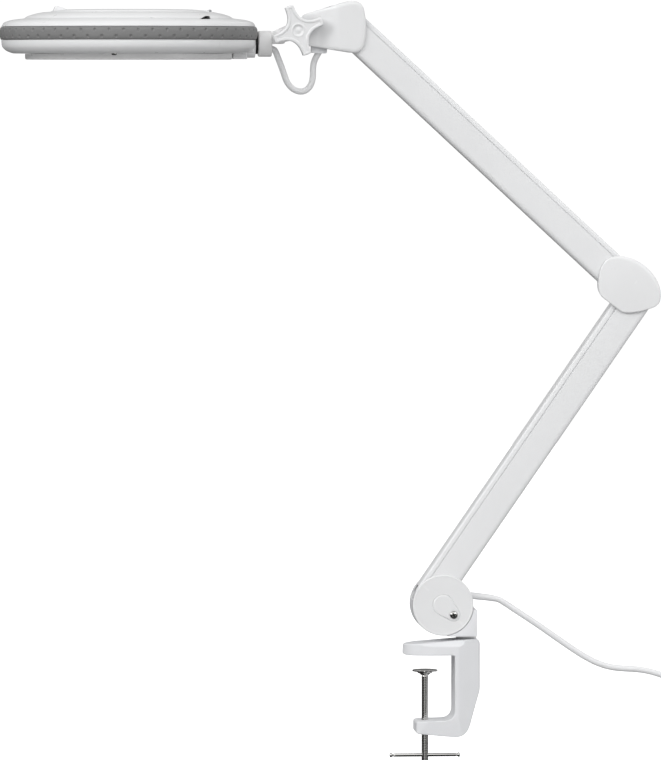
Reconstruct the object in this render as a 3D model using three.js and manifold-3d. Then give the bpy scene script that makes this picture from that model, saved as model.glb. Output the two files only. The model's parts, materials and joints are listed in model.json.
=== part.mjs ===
// Clamp-on magnifying lamp: ring-lit lens head on a double parallelogram arm.
// Millimetres, +Z up, X along the arms, Y across them.
// The origin is on the underside of the clamp's upper jaw, straight above the clamp screw.

import * as THREE from 'three';
import { mergeVertices } from 'three/addons/utils/BufferGeometryUtils.js';
import Module from 'manifold-3d';

const wasm = await Module();
wasm.setup();

// ---------------------------------------------------------------- driving dimensions

const GAP = 0.3;                  // running clearance between neighbouring pieces
const FAR = 400;                  // longer than anything that is cut

const CHANNEL_WIDTH = 28;         // outer channel of each arm, across Y
const CHANNEL_WALL = 1.2;
const CHANNEL_LOW = -15;          // its web, measured from the arm's centre line
const CHANNEL_HIGH = 10;          // its flange edge
const LINK_WIDTH = 24.8;          // inner channel, nested in the outer one
const LINK_LOW = 0;
const LINK_HIGH = 15;
const PIN_OFFSET = 7.5;           // each pin's distance from the arm's centre line
const PIN_RADIUS = 2.5;
const WEB_CUT = 8;                // outer web stops this far from its pins
const LINK_WEB_CUT = 17;          // inner web stops this far from its elbow pin
const LINK_WEB_START = 2;         // and this far from its other pin
const PLATE_HALF = 8;             // half thickness of the lugs between the channels

const BASE_PIVOT = [4.5, 52.6];   // middle of the lower arm's two lower pins (X, Z)
const ELBOW_LOWER = [190.3, 321.6];
const ELBOW_UPPER = [169.7, 344.5];
const HEAD_PIVOT = [-70.7, 567.5];
const KNOB_AXIS = [-116.1, 562.2];

const COVER_IN = 14.6;            // inner face of the joint covers, from the middle plane
const COVER_OUT = 17.2;

const DRUM = [15, 45.3];          // centre of the round base joint
const DRUM_RADIUS = 27.5;
const DRUM_WALL = 1.8;
const DRUM_OPEN = [22, 170];      // degrees between which the drum is open for the arm

const POST_X = 37.4;              // swivel axis
const POST_RADIUS = 6;
const POST_FOOT = -24;
const BRACKET_FOOT = 17;

const JAW_DEPTH = 38;             // clamp casting, across Y
const SCREW_RADIUS = 3;
const SCREW_TOP = -17;
const SCREW_END = -98;
const PAD_TOP = -14.1;
const PAD_RADIUS = 11.4;
const BAR_Z = -91.4;
const BAR_RADIUS = 1.55;
const BAR_HALF = 32;

const HEAD_X = -266.9;            // lens axis
const HEAD_RADIUS = 113.8;        // housing; the grip band stands proud of it
const BAND_RADIUS = 115.6;
const BAND_LOW = 553.8;
const BAND_HIGH = 566.4;
const UNDERSIDE = 541.5;
const LENS_RADIUS = 63.5;
const LENS_MID = 554.5;
const LID_RADIUS = 70;
const LID_SEAT = 577.6;
const LID_TOP = 580.9;
const LID_HINGE = [-194.6, 579.3];
const RING_RADIUS = 92.7;         // light ring under the head
const RING_LOW = 536.1;
const RING_HIGH = 541.2;

const ROLL_Z = 550.2;             // height of the head's roll axis
const COLLAR = [-150.8, -138.6];  // the collar's two faces in X
const COLLAR_RADIUS = 11.7;
const SPIGOT_RADIUS = 6;

const CORD_RADIUS = 2.8;
const CORD_EXIT = [43, 52.6];
const RELIEF_END = [63, 49.9];
const COIL_AT = [362, 37];
const COIL_INNER = 22.7;
const COIL_OUTER = 40;
const COIL_LOW = -97.9;
const COIL_HIGH = -81;
const PIGTAIL_RADIUS = 2.85;

const ROUND = 36;                 // facets of a large round piece
const SMALL_ROUND = 16;
const TINY_ROUND = 10;

// ---------------------------------------------------------------- materials

const finish = {
  white: { color: 0xe9eaeb, roughness: 0.38, metalness: 0.0 },
  casting: { color: 0xe2e3e5, roughness: 0.42, metalness: 0.1 },
  grey: { color: 0xcfd0d2, roughness: 0.5, metalness: 0.0 },
  rubber: { color: 0x77797b, roughness: 0.8, metalness: 0.0 },
  chrome: { color: 0xc9ccce, roughness: 0.12, metalness: 1.0 },
  steel: { color: 0x9a9da0, roughness: 0.35, metalness: 1.0 },
  glass: { color: 0xf2f8f8, roughness: 0.03, metalness: 0.0 },
  diffuser: { color: 0xdadcdd, roughness: 0.45, metalness: 0.0 },
  board: { color: 0xf0f0ea, roughness: 0.6, metalness: 0.0 },
  nylon: { color: 0x2b2c2e, roughness: 0.6, metalness: 0.0 },
  cord: { color: 0xdfe0e1, roughness: 0.5, metalness: 0.0 },
};

function piece(group, name, shape, look) {
  const geometry = shape.isBufferGeometry ? shape : toGeometry(shape);
  const mesh = new THREE.Mesh(geometry, new THREE.MeshStandardMaterial(finish[look]));
  mesh.name = name;
  group.add(mesh);
  return mesh;
}

// ---------------------------------------------------------------- solids

function solid(geometry) {
  const bare = geometry.clone();
  bare.deleteAttribute('normal');
  bare.deleteAttribute('uv');
  const merged = mergeVertices(bare, 1e-4);
  return new wasm.Manifold(new wasm.Mesh({
    numProp: 3,
    vertProperties: new Float32Array(merged.attributes.position.array),
    triVerts: new Uint32Array(merged.index.array),
  }));
}

function toGeometry(manifold) {
  const mesh = manifold.getMesh();
  const geometry = new THREE.BufferGeometry();
  geometry.setAttribute('position', new THREE.BufferAttribute(new Float32Array(mesh.vertProperties), 3));
  geometry.setIndex(new THREE.BufferAttribute(new Uint32Array(mesh.triVerts), 1));
  geometry.computeVertexNormals();
  return geometry;
}

// The smallest convex outline round a set of circles [x, z, radius].
function hull(circles, facets = SMALL_ROUND) {
  const points = [];
  for (const [x, z, r] of circles) {
    for (let i = 0; i < facets; i++) {
      const turn = (i / facets) * 2 * Math.PI;
      points.push([x + r * Math.cos(turn), z + r * Math.sin(turn)]);
    }
  }
  points.sort((p, q) => p[0] - q[0] || p[1] - q[1]);
  const cross = (o, p, q) => (p[0] - o[0]) * (q[1] - o[1]) - (p[1] - o[1]) * (q[0] - o[0]);
  const half = (list) => {
    const chain = [];
    for (const p of list) {
      while (chain.length > 1 && cross(chain.at(-2), chain.at(-1), p) <= 1e-6) chain.pop();
      chain.push(p);
    }
    chain.pop();
    return chain;
  };
  return [...half(points), ...half([...points].reverse())];
}

function shapeOf(points) {
  return new THREE.Shape(points.map(([x, z]) => new THREE.Vector2(x, z)));
}

// An XZ outline extruded across Y, between yLow and yHigh.
function across(outline, yLow, yHigh, facets = 6) {
  const shape = outline instanceof THREE.Shape ? outline : shapeOf(outline);
  const geometry = new THREE.ExtrudeGeometry(shape, {
    depth: yHigh - yLow, bevelEnabled: false, curveSegments: facets, steps: 1,
  });
  geometry.rotateX(Math.PI / 2);
  geometry.translate(0, yHigh, 0);
  return solid(geometry);
}

// An XY outline extruded up Z.
function upward(outline, zLow, zHigh, facets = 6) {
  const shape = outline instanceof THREE.Shape ? outline : shapeOf(outline);
  const geometry = new THREE.ExtrudeGeometry(shape, {
    depth: zHigh - zLow, bevelEnabled: false, curveSegments: facets, steps: 1,
  });
  geometry.translate(0, 0, zLow);
  return solid(geometry);
}

function box(x, y, z) {
  const geometry = new THREE.BoxGeometry(x[1] - x[0], y[1] - y[0], z[1] - z[0]);
  geometry.translate((x[0] + x[1]) / 2, (y[0] + y[1]) / 2, (z[0] + z[1]) / 2);
  return solid(geometry);
}

function rodY(x, z, radius, yLow, yHigh, facets = TINY_ROUND) {
  const geometry = new THREE.CylinderGeometry(radius, radius, yHigh - yLow, facets);
  geometry.translate(x, (yLow + yHigh) / 2, z);
  return solid(geometry);
}

function rodX(y, z, radius, xLow, xHigh, facets = SMALL_ROUND) {
  const geometry = new THREE.CylinderGeometry(radius, radius, xHigh - xLow, facets);
  geometry.rotateZ(Math.PI / 2);
  geometry.translate((xLow + xHigh) / 2, y, z);
  return solid(geometry);
}

function rodZ(x, y, radius, zLow, zHigh, facets = SMALL_ROUND) {
  const geometry = new THREE.CylinderGeometry(radius, radius, zHigh - zLow, facets);
  geometry.rotateX(Math.PI / 2);
  geometry.translate(x, y, (zLow + zHigh) / 2);
  return solid(geometry);
}

// A profile [radius, z] turned about a vertical axis at (x, y).
function turned(profile, x, y, facets = ROUND) {
  const geometry = new THREE.LatheGeometry(profile.map(([r, z]) => new THREE.Vector2(r, z)), facets);
  geometry.rotateX(Math.PI / 2);
  geometry.translate(x, y, 0);
  return solid(geometry);
}

function ring(inner, outer, zLow, zHigh, x, y, facets = ROUND) {
  const profile = [[inner, zLow], [outer, zLow], [outer, zHigh], [inner, zHigh], [inner, zLow]];
  return turned(profile, x, y, facets);
}

// A round tube of one radius along a route of points.
function tube(points, radius, steps, sides) {
  const route = new THREE.CatmullRomCurve3(points.map((p) => new THREE.Vector3(...p)), false, 'centripetal');
  const section = new THREE.Shape();
  section.absarc(0, 0, radius, 0, 2 * Math.PI);
  return solid(new THREE.ExtrudeGeometry(section, {
    extrudePath: route, steps, curveSegments: sides / 2, bevelEnabled: false,
  }));
}

// A ring-shaped sector seen along Y: between two radii and two angles in degrees.
function sector(centre, inner, outer, from, to, facets = 14) {
  const points = [];
  for (let i = 0; i <= facets; i++) {
    const turn = THREE.MathUtils.degToRad(from + ((to - from) * i) / facets);
    points.push([centre[0] + outer * Math.cos(turn), centre[1] + outer * Math.sin(turn)]);
  }
  for (let i = facets; i >= 0; i--) {
    const turn = THREE.MathUtils.degToRad(from + ((to - from) * i) / facets);
    points.push([centre[0] + inner * Math.cos(turn), centre[1] + inner * Math.sin(turn)]);
  }
  return points;
}

const lamp = new THREE.Group();
lamp.name = 'magnifying_lamp';

// ---------------------------------------------------------------- desk clamp

function clampFrame() {
  const outline = new THREE.Shape();
  outline.moveTo(-18, 0);
  outline.lineTo(22.6, 0);
  outline.quadraticCurveTo(25.6, 0, 25.6, -3);
  outline.lineTo(25.6, -49);
  outline.quadraticCurveTo(25.6, -59, 15, -59);
  outline.lineTo(-7, -59.6);
  outline.quadraticCurveTo(-9.2, -60, -9.2, -62);
  outline.lineTo(-9.2, -69);
  outline.quadraticCurveTo(-9, -71, -5.8, -71);
  outline.lineTo(26.6, -74.1);
  outline.quadraticCurveTo(36.5, -73.5, 39.7, -63.4);
  outline.lineTo(47.6, -36);
  outline.quadraticCurveTo(49, -33, 49, -29);
  outline.lineTo(49, 9);
  outline.quadraticCurveTo(49, 14.5, 44, 14.5);
  outline.lineTo(28, 13.6);
  outline.lineTo(-17.6, 9.8);
  outline.quadraticCurveTo(-19.4, 9.6, -19.6, 8);
  outline.lineTo(-20.4, 3);
  outline.quadraticCurveTo(-20.6, 0, -18, 0);
  const half = JAW_DEPTH / 2;
  const plan = hull([
    [-2, 0, 18.4], [5, half - 5, 5], [5, 5 - half, 5], [31, half - 1, 1], [31, 1 - half, 1],
    [46, half - 8, 3], [46, 8 - half, 3],
  ], 24);
  const screwHole = rodZ(0, 0, SCREW_RADIUS + GAP, -80, -50, TINY_ROUND);
  const postHole = rodZ(POST_X, 0, POST_RADIUS + 2.4, POST_FOOT - 2, 20);
  return across(outline, -half, half, 5)
    .intersect(upward(plan, -80, 20))
    .subtract(screwHole)
    .subtract(postHole);
}

function postBush() {
  const inner = POST_RADIUS + GAP;
  const sleeve = POST_RADIUS + 2.1;
  const profile = [
    [inner, POST_FOOT], [sleeve, POST_FOOT], [sleeve, 14.8],
    [9.5, 14.8], [9.5, 16.6], [inner, 16.6], [inner, POST_FOOT],
  ];
  return turned(profile, POST_X, 0, SMALL_ROUND);
}

function pressurePad() {
  const socket = SCREW_RADIUS - 0.2;
  const profile = [
    [0, PAD_TOP], [PAD_RADIUS, PAD_TOP], [PAD_RADIUS, PAD_TOP - 1.2], [5, -18.4], [5, -19.6],
    [socket, -19.6], [socket, SCREW_TOP + GAP], [0, SCREW_TOP + GAP],
  ];
  return turned([...profile].reverse(), 0, 0, 24);
}

function clampScrew() {
  const neck = SCREW_RADIUS - 0.6;
  const profile = [
    [0, SCREW_TOP], [neck, SCREW_TOP], [neck, -21.4], [SCREW_RADIUS, -22.4],
    [SCREW_RADIUS, SCREW_END + 1], [SCREW_RADIUS - 0.8, SCREW_END], [0, SCREW_END],
  ];
  const crossHole = rodX(0, BAR_Z, BAR_RADIUS + GAP, -5, 5, TINY_ROUND);
  return turned([...profile].reverse(), 0, 0, TINY_ROUND).subtract(crossHole);
}

function tommyBar() {
  const ball = 2.1;
  const tip = (end) => {
    const points = [];
    for (let i = 0; i <= 4; i++) {
      const turn = (i / 4) * Math.PI * 0.78;
      points.push([ball * Math.sin(turn), end - ball + ball * Math.cos(turn)]);
    }
    return [...points, [BAR_RADIUS, end - 2.3 * ball]];
  };
  const right = tip(BAR_HALF);
  const left = right.map(([r, at]) => [r, -at]).reverse();
  const profile = [...right, ...left].reverse();
  profile[0][0] = 0;
  profile[profile.length - 1][0] = 0;
  const geometry = new THREE.LatheGeometry(profile.map(([r, at]) => new THREE.Vector2(r, at)), TINY_ROUND);
  geometry.rotateZ(-Math.PI / 2);
  geometry.translate(0, 0, BAR_Z);
  return solid(geometry);
}

piece(lamp, 'clamp_frame', clampFrame(), 'casting');
piece(lamp, 'post_bush', postBush(), 'nylon');
piece(lamp, 'pressure_pad', pressurePad(), 'chrome');
piece(lamp, 'clamp_screw', clampScrew(), 'chrome');
piece(lamp, 'tommy_bar', tommyBar(), 'chrome');

// ---------------------------------------------------------------- arms

function armFrame(start, end) {
  const group = new THREE.Group();
  const rise = Math.atan2(end[1] - start[1], end[0] - start[0]);
  group.position.set(start[0], 0, start[1]);
  group.rotation.y = -rise;
  group.userData.length = Math.hypot(end[0] - start[0], end[1] - start[1]);
  lamp.add(group);
  return group;
}

// Where a point of an arm's own frame lies in the lamp's frame.
function onArm(start, end, along, up) {
  const rise = Math.atan2(end[1] - start[1], end[0] - start[0]);
  return [
    start[0] + along * Math.cos(rise) - up * Math.sin(rise),
    start[1] + along * Math.sin(rise) + up * Math.cos(rise),
  ];
}

function outerChannel(length) {
  const outline = hull([
    [0, -PIN_OFFSET, PIN_OFFSET], [length, -PIN_OFFSET, PIN_OFFSET],
    [14, CHANNEL_HIGH - 2, 2], [length - 14, CHANNEL_HIGH - 2, 2],
  ]);
  const half = CHANNEL_WIDTH / 2;
  const inside = half - CHANNEL_WALL;
  const floor = CHANNEL_LOW + CHANNEL_WALL;
  let channel = across(outline, -half, half);
  channel = channel.subtract(box([-20, length + 20], [-inside, inside], [floor, 30]));
  channel = channel.subtract(box([-20, WEB_CUT], [-inside, inside], [-30, floor + 1]));
  channel = channel.subtract(box([length - WEB_CUT, length + 20], [-inside, inside], [-30, floor + 1]));
  for (const along of [0, length]) {
    channel = channel.subtract(rodY(along, -PIN_OFFSET, PIN_RADIUS + GAP, -FAR, FAR));
  }
  return channel;
}

function innerLink(length) {
  const outline = hull([[0, PIN_OFFSET, PIN_OFFSET], [length, PIN_OFFSET, PIN_OFFSET]]);
  const half = LINK_WIDTH / 2;
  const inside = half - CHANNEL_WALL;
  const roof = LINK_HIGH - CHANNEL_WALL;
  let link = across(outline, -half, half);
  link = link.subtract(box([-20, length + 20], [-inside, inside], [LINK_LOW - 10, roof]));
  link = link.subtract(box([-20, LINK_WEB_START], [-inside, inside], [roof - 1, 30]));
  link = link.subtract(box([length - LINK_WEB_CUT, length + 20], [-inside, inside], [roof - 1, 30]));
  for (const along of [0, length]) {
    link = link.subtract(rodY(along, PIN_OFFSET, PIN_RADIUS + GAP, -FAR, FAR));
  }
  return link;
}

// Close-wound extension spring between two straight tails.
function balanceSpring(from, to, height) {
  const wire = 0.9;
  const mean = 4.2;
  const coils = 11;
  const perCoil = 7;
  const points = [[from - 12, 0, height]];
  for (let i = 0; i <= coils * perCoil; i++) {
    const turn = (i / perCoil) * 2 * Math.PI;
    const along = from + ((to - from) * i) / (coils * perCoil);
    points.push([along, mean * Math.sin(turn), height + mean * Math.cos(turn)]);
  }
  points.push([to + 12, 0, height]);
  return tube(points, wire, coils * perCoil + 6, 4);
}

function arm(name, start, end) {
  const group = armFrame(start, end);
  const { length } = group.userData;
  piece(group, `${name}_arm_channel`, outerChannel(length), 'white');
  piece(group, `${name}_arm_link`, innerLink(length), 'white');
  piece(group, `${name}_spring`, balanceSpring(70, 190, -7), 'steel');
  const cable = [[40, 0, 5], [length / 2, 0, 5], [length - 40, 0, 5]];
  piece(group, `${name}_arm_cable`, tube(cable, 2.4, 2, 8), 'cord');
}

arm('lower', BASE_PIVOT, ELBOW_LOWER);
arm('upper', HEAD_PIVOT, ELBOW_UPPER);

const basePins = [-1, 1].map((side) => onArm(BASE_PIVOT, ELBOW_LOWER, 0, side * PIN_OFFSET));
const elbowLowerPins = [-1, 1].map((side) => {
  const [x, z] = onArm(BASE_PIVOT, ELBOW_LOWER, 0, side * PIN_OFFSET);
  return [x + ELBOW_LOWER[0] - BASE_PIVOT[0], z + ELBOW_LOWER[1] - BASE_PIVOT[1]];
});
const headPins = [-1, 1].map((side) => onArm(HEAD_PIVOT, ELBOW_UPPER, 0, side * PIN_OFFSET));
const elbowUpperPins = headPins.map(([x, z]) => [
  x + ELBOW_UPPER[0] - HEAD_PIVOT[0],
  z + ELBOW_UPPER[1] - HEAD_PIVOT[1],
]);

// A pair of pins: the first holds the outer channel, the second the inner link.
function pinPair(name, [channelPin, linkPin]) {
  const long = CHANNEL_WIDTH / 2 + 0.2;
  const short = LINK_WIDTH / 2 + 0.1;
  piece(lamp, `${name}_arm_pin`, rodY(...channelPin, PIN_RADIUS, -long, long), 'steel');
  piece(lamp, `${name}_link_pin`, rodY(...linkPin, PIN_RADIUS, -short, short), 'steel');
}

function drillPins(body, pins) {
  let drilled = body;
  for (const [x, z] of pins) {
    drilled = drilled.subtract(rodY(x, z, PIN_RADIUS + GAP, -FAR, FAR));
  }
  return drilled;
}

pinPair('base', basePins);
pinPair('elbow_lower', elbowLowerPins);
pinPair('elbow_upper', elbowUpperPins);
pinPair('bracket', headPins);

// ---------------------------------------------------------------- base joint

function baseBracket() {
  const eye = 5.5;
  const foot = [16, 26, 7];
  const lug = across(hull([[...basePins[0], eye], [...basePins[1], eye]]), -PLATE_HALF, PLATE_HALF)
    .add(across(hull([[...basePins[0], eye], foot]), -PLATE_HALF, PLATE_HALF))
    .add(across(hull([foot, [36, 26, 7]]), -PLATE_HALF, PLATE_HALF));
  const rim = across(
    sector(DRUM, DRUM_RADIUS - DRUM_WALL, DRUM_RADIUS, DRUM_OPEN[1], 360 + DRUM_OPEN[0]),
    -PLATE_HALF, PLATE_HALF,
  );
  const drumBore = rodY(...DRUM, DRUM_RADIUS + GAP, -FAR, FAR, ROUND);
  const block = across(hull([[20, BRACKET_FOOT + 2, 2], [44, BRACKET_FOOT + 2, 2], [44.5, 40, 1.5]]), -17, 17)
    .subtract(drumBore.subtract(box([-FAR, FAR], [-PLATE_HALF, PLATE_HALF], [-FAR, FAR])));
  const postHole = rodZ(POST_X, 0, POST_RADIUS + GAP, 10, 31);
  const cordHole = rodX(0, CORD_EXIT[1], CORD_RADIUS + 1, 30, 60, TINY_ROUND);
  return drillPins(lug.add(rim).add(block).subtract(postHole).subtract(cordHole), basePins);
}

function baseCover(side) {
  const wall = sector(DRUM, DRUM_RADIUS - DRUM_WALL, DRUM_RADIUS, DRUM_OPEN[1], 360 + DRUM_OPEN[0]);
  const inner = PLATE_HALF + GAP;
  const disc = rodY(...DRUM, DRUM_RADIUS, COVER_IN, COVER_OUT, ROUND);
  let cover = disc.add(across(wall, inner, COVER_IN + 1));
  const cordHole = rodX(0, CORD_EXIT[1], CORD_RADIUS + 1, 30, 60, TINY_ROUND);
  cover = cover.subtract(cordHole);
  return side < 0 ? cover.mirror([0, 1, 0]) : cover;
}

function pivotCap() {
  const front = -COVER_OUT - GAP;
  const outline = hull([[DRUM[0], DRUM[1], 9], [DRUM[0] + 9.5, DRUM[1] - 8.9, 5.4]]);
  const screwHole = rodY(DRUM[0] + 9.5, DRUM[1] - 8.9, 3.9, -FAR, FAR);
  return across(outline, front - 1, front).subtract(screwHole);
}

function capScrew() {
  const front = -COVER_OUT - GAP;
  return rodY(DRUM[0] + 9.5, DRUM[1] - 8.9, 3.5, front - 1.6, front);
}

function strainRelief() {
  const run = [RELIEF_END[0] - CORD_EXIT[0], RELIEF_END[1] - CORD_EXIT[1]];
  const geometry = new THREE.CylinderGeometry(CORD_RADIUS + 0.15, CORD_RADIUS + 0.7, Math.hypot(...run), TINY_ROUND);
  geometry.rotateZ(-Math.PI / 2);
  geometry.rotateY(-Math.atan2(run[1], run[0]));
  geometry.translate((CORD_EXIT[0] + RELIEF_END[0]) / 2, 0, (CORD_EXIT[1] + RELIEF_END[1]) / 2);
  return solid(geometry);
}

piece(lamp, 'swivel_post', rodZ(POST_X, 0, POST_RADIUS, POST_FOOT, 30), 'steel');
piece(lamp, 'base_bracket', baseBracket(), 'casting');
piece(lamp, 'base_cover_front', baseCover(-1), 'white');
piece(lamp, 'base_cover_rear', baseCover(1), 'white');
piece(lamp, 'pivot_cap', pivotCap(), 'white');
piece(lamp, 'pivot_cap_screw', capScrew(), 'chrome');
piece(lamp, 'cord_strain_relief', strainRelief(), 'cord');

// ---------------------------------------------------------------- power cord

// From the strain relief, down off the bench to the floor, and up to the coil.
const CORD_ROUTE = [
  [63.5, 0, 49.8], [67, 0, 48.9], [71.6, 0, 46.3], [77.2, 0, 42.6], [88.7, 0, 35], [100.3, 0, 27.3], [111.8, 0, 19.3],
  [123.4, 0, 11.2], [134.9, 0, 3.3], [146.4, 0, -3.9], [158, 0, -9.6], [169.5, 0, -13], [181.1, 0, -14.4],
  [193, 0, -15.2], [206, 0, -17.6], [220, 0, -22.6], [234, 0, -30.8], [248, 0, -41.8], [262, 0, -54.4],
  [276, 0, -67.2], [290, 0, -78.8], [305, 0, -88], [322, 0, -93.8], [340.4, 0, -95.1],
];

function coilTie() {
  const thick = 0.8;
  const low = COIL_LOW - GAP;
  const high = COIL_HIGH + GAP;
  const inner = COIL_AT[1] + COIL_INNER - GAP - 0.6;
  const outer = COIL_AT[1] + COIL_OUTER + GAP;
  const x = [COIL_AT[0] - 4, COIL_AT[0] + 4];
  return box(x, [inner - thick, outer + thick], [low - thick, high + thick])
    .subtract(box([x[0] - 1, x[1] + 1], [inner, outer], [low, high]));
}

function mainsPlug() {
  const [x, y] = [357, COIL_AT[1] - 19];
  const z = COIL_HIGH + GAP + 7;
  const body = upward(hull([[x + 3, y - 7, 3], [x + 3, y + 7, 3], [x + 30, y - 13, 4.5], [x + 30, y + 13, 4.5]], 12),
    z - 6.9, z + 6.9);
  const relief = new THREE.CylinderGeometry(4.6, CORD_RADIUS + 0.3, 14, TINY_ROUND);
  relief.rotateZ(-Math.PI / 2);
  relief.translate(x - 6, y, z);
  let plug = body.add(solid(relief));
  for (const side of [-9.5, 9.5]) {
    plug = plug.add(rodX(y + side, z, 2, x + 30, x + 53, TINY_ROUND));
  }
  return plug;
}

piece(lamp, 'power_cord_lead', tube(CORD_ROUTE, CORD_RADIUS, 26, 8), 'cord');
piece(lamp, 'power_cord_coil', ring(COIL_INNER, COIL_OUTER, COIL_LOW, COIL_HIGH, ...COIL_AT, 28), 'cord');
piece(lamp, 'cord_tie', coilTie(), 'nylon');
piece(lamp, 'mains_plug', mainsPlug(), 'white');

// ---------------------------------------------------------------- elbow

function elbowOutline() {
  const outline = new THREE.Shape();
  outline.moveTo(154.9, 334);
  outline.bezierCurveTo(154.9, 329, 155.5, 325, 159.5, 321.7);
  outline.lineTo(172, 312.3);
  outline.bezierCurveTo(175, 310, 177, 308.3, 181, 308.3);
  outline.bezierCurveTo(188, 308.3, 195, 309.5, 202, 312);
  outline.bezierCurveTo(209, 314, 211.8, 317, 211.8, 324.8);
  outline.bezierCurveTo(211, 343, 192, 359, 175, 359.5);
  outline.bezierCurveTo(163, 359.5, 155.5, 354, 154.9, 334);
  return outline;
}

// The rear cover is a little smaller than the front one.
function elbowCover(side) {
  const middle = [187, 334];
  const scaled = (scale) => elbowOutline().getPoints(6).slice(0, -1).map((p) => [
    middle[0] + (p.x - middle[0]) * scale,
    middle[1] + (p.y - middle[1]) * scale,
  ]);
  const size = side < 0 ? 1 : 0.91;
  const face = across(scaled(size), COVER_IN, COVER_OUT);
  const wall = across(scaled(size), GAP / 2, COVER_IN + 1)
    .subtract(across(scaled(size * 0.93), -1, COVER_IN + 2))
    .intersect(box([182, 230], [-1, 30], [319, 370]));
  const cover = face.add(wall);
  return side < 0 ? cover.mirror([0, 1, 0]) : cover;
}

function elbowPlate() {
  const eye = 5.5;
  const pins = [...elbowLowerPins, ...elbowUpperPins];
  const plate = across(hull(pins.map(([x, z]) => [x, z, eye])), -PLATE_HALF, PLATE_HALF);
  return drillPins(plate, pins);
}

piece(lamp, 'elbow_plate', elbowPlate(), 'casting');
piece(lamp, 'elbow_cover_front', elbowCover(-1), 'white');
piece(lamp, 'elbow_cover_rear', elbowCover(1), 'white');

// ---------------------------------------------------------------- head bracket

function bracketOutline() {
  const outline = new THREE.Shape();
  outline.moveTo(-106, 548.4);
  outline.lineTo(-68, 542.4);
  outline.bezierCurveTo(-61, 541.4, -57, 545, -56, 552);
  outline.bezierCurveTo(-54, 560, -54, 570, -56, 578);
  outline.bezierCurveTo(-57, 587, -63, 590.5, -72, 588);
  outline.lineTo(-106, 577.7);
  outline.bezierCurveTo(-109, 576.8, -111.8, 575, -111.8, 572);
  outline.lineTo(-111.8, 555);
  outline.bezierCurveTo(-111.8, 551, -110, 549.5, -106, 548.4);
  return outline;
}

// The cover's face is pinched in towards the knob, so that its arms can pass.
function bracketCover(side) {
  const pinched = PLATE_HALF + GAP;
  const plan = [[-50, COVER_IN], [-50, COVER_OUT], [-84, COVER_OUT], [-94, pinched + 1.8],
    [-114, pinched + 1.8], [-114, pinched], [-95, pinched], [-84.8, COVER_IN]];
  const cover = across(bracketOutline(), 0, 30)
    .intersect(upward([...plan].reverse(), 500, 620))
    .subtract(rodY(...KNOB_AXIS, 8.8, 0, 30, SMALL_ROUND));
  return side < 0 ? cover.mirror([0, 1, 0]) : cover;
}

function headBracket() {
  const eye = 5.5;
  const arm = hull([[...headPins[0], eye], [...headPins[1], eye], [-104, 562.4, 7]]);
  const nose = hull([[-100, 562.4, 7], [...KNOB_AXIS, 8]]);
  const slot = box([-140, -106], [-4.4, 4.4], [540, 590]);
  const stud = rodY(...KNOB_AXIS, 3 + GAP, -FAR, FAR);
  const gland = box([-103, -89], [-5, 5], [541.6, 560]);
  const bracket = across(arm, -PLATE_HALF, PLATE_HALF).add(across(nose, -PLATE_HALF, PLATE_HALF)).add(gland);
  return drillPins(bracket.subtract(slot).subtract(stud), headPins);
}

function frictionWasher(side) {
  const [near, far] = side < 0 ? [-4.1, -3.3] : [3.3, 4.1];
  return rodY(...KNOB_AXIS, 7.6, near, far, SMALL_ROUND).subtract(rodY(...KNOB_AXIS, 3 + GAP, -FAR, FAR));
}

function knobStud() {
  const head = rodY(...KNOB_AXIS, 7, PLATE_HALF + GAP, 12, 6);
  return rodY(...KNOB_AXIS, 3, -20, 10).add(head);
}

function starKnob() {
  const tip = 23.4;
  const valley = 11.3;
  const halfTip = 3.9;
  const lean = 21;
  const outline = new THREE.Shape();
  for (let i = 0; i < 4; i++) {
    const turn = THREE.MathUtils.degToRad(lean + 90 * i);
    const next = turn + Math.PI / 2;
    const at = (angle, radius, aside) => [
      KNOB_AXIS[0] + radius * Math.cos(angle) - aside * Math.sin(angle),
      KNOB_AXIS[1] + radius * Math.sin(angle) + aside * Math.cos(angle),
    ];
    const right = at(turn, tip - 0.6, -halfTip);
    if (i === 0) outline.moveTo(...right);
    else outline.lineTo(...right);
    outline.lineTo(...at(turn, tip - 0.6, halfTip));
    const middle = at(turn + Math.PI / 4, 2 * valley - (tip - 0.6 + halfTip) / Math.SQRT2, 0);
    outline.quadraticCurveTo(...middle, ...at(next, tip - 0.6, -halfTip));
  }
  const hub = rodY(...KNOB_AXIS, 8, -13, -PLATE_HALF - GAP - 0.1, SMALL_ROUND);
  return across(outline, -24, -12.3, 6)
    .add(hub)
    .subtract(rodY(...KNOB_AXIS, 3 + GAP, -21, 0));
}

piece(lamp, 'head_bracket', headBracket(), 'casting');
piece(lamp, 'bracket_cover_front', bracketCover(-1), 'white');
piece(lamp, 'bracket_cover_rear', bracketCover(1), 'white');
piece(lamp, 'friction_washer_front', frictionWasher(-1), 'nylon');
piece(lamp, 'friction_washer_rear', frictionWasher(1), 'nylon');
piece(lamp, 'knob_stud', knobStud(), 'steel');
piece(lamp, 'star_knob', starKnob(), 'white');

// ---------------------------------------------------------------- neck and head lead

const PIGTAIL_ROUTE = [
  [-137.7, 0, 545], [-136, 0, 544.7], [-133.4, 0, 539.2], [-130.3, 0, 531.3], [-127.8, 0, 524.5], [-125.6, 0, 518.1],
  [-122.4, 0, 512.8], [-117.9, 0, 509], [-112.1, 0, 507.4], [-107.1, 0, 509], [-103.1, 0, 513.7],
  [-101.4, 0, 520.9], [-101.3, 0, 526.8], [-100.7, 0, 532.4], [-99.4, 0, 536.4], [-97.8, 0, 539.4],
];

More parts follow.
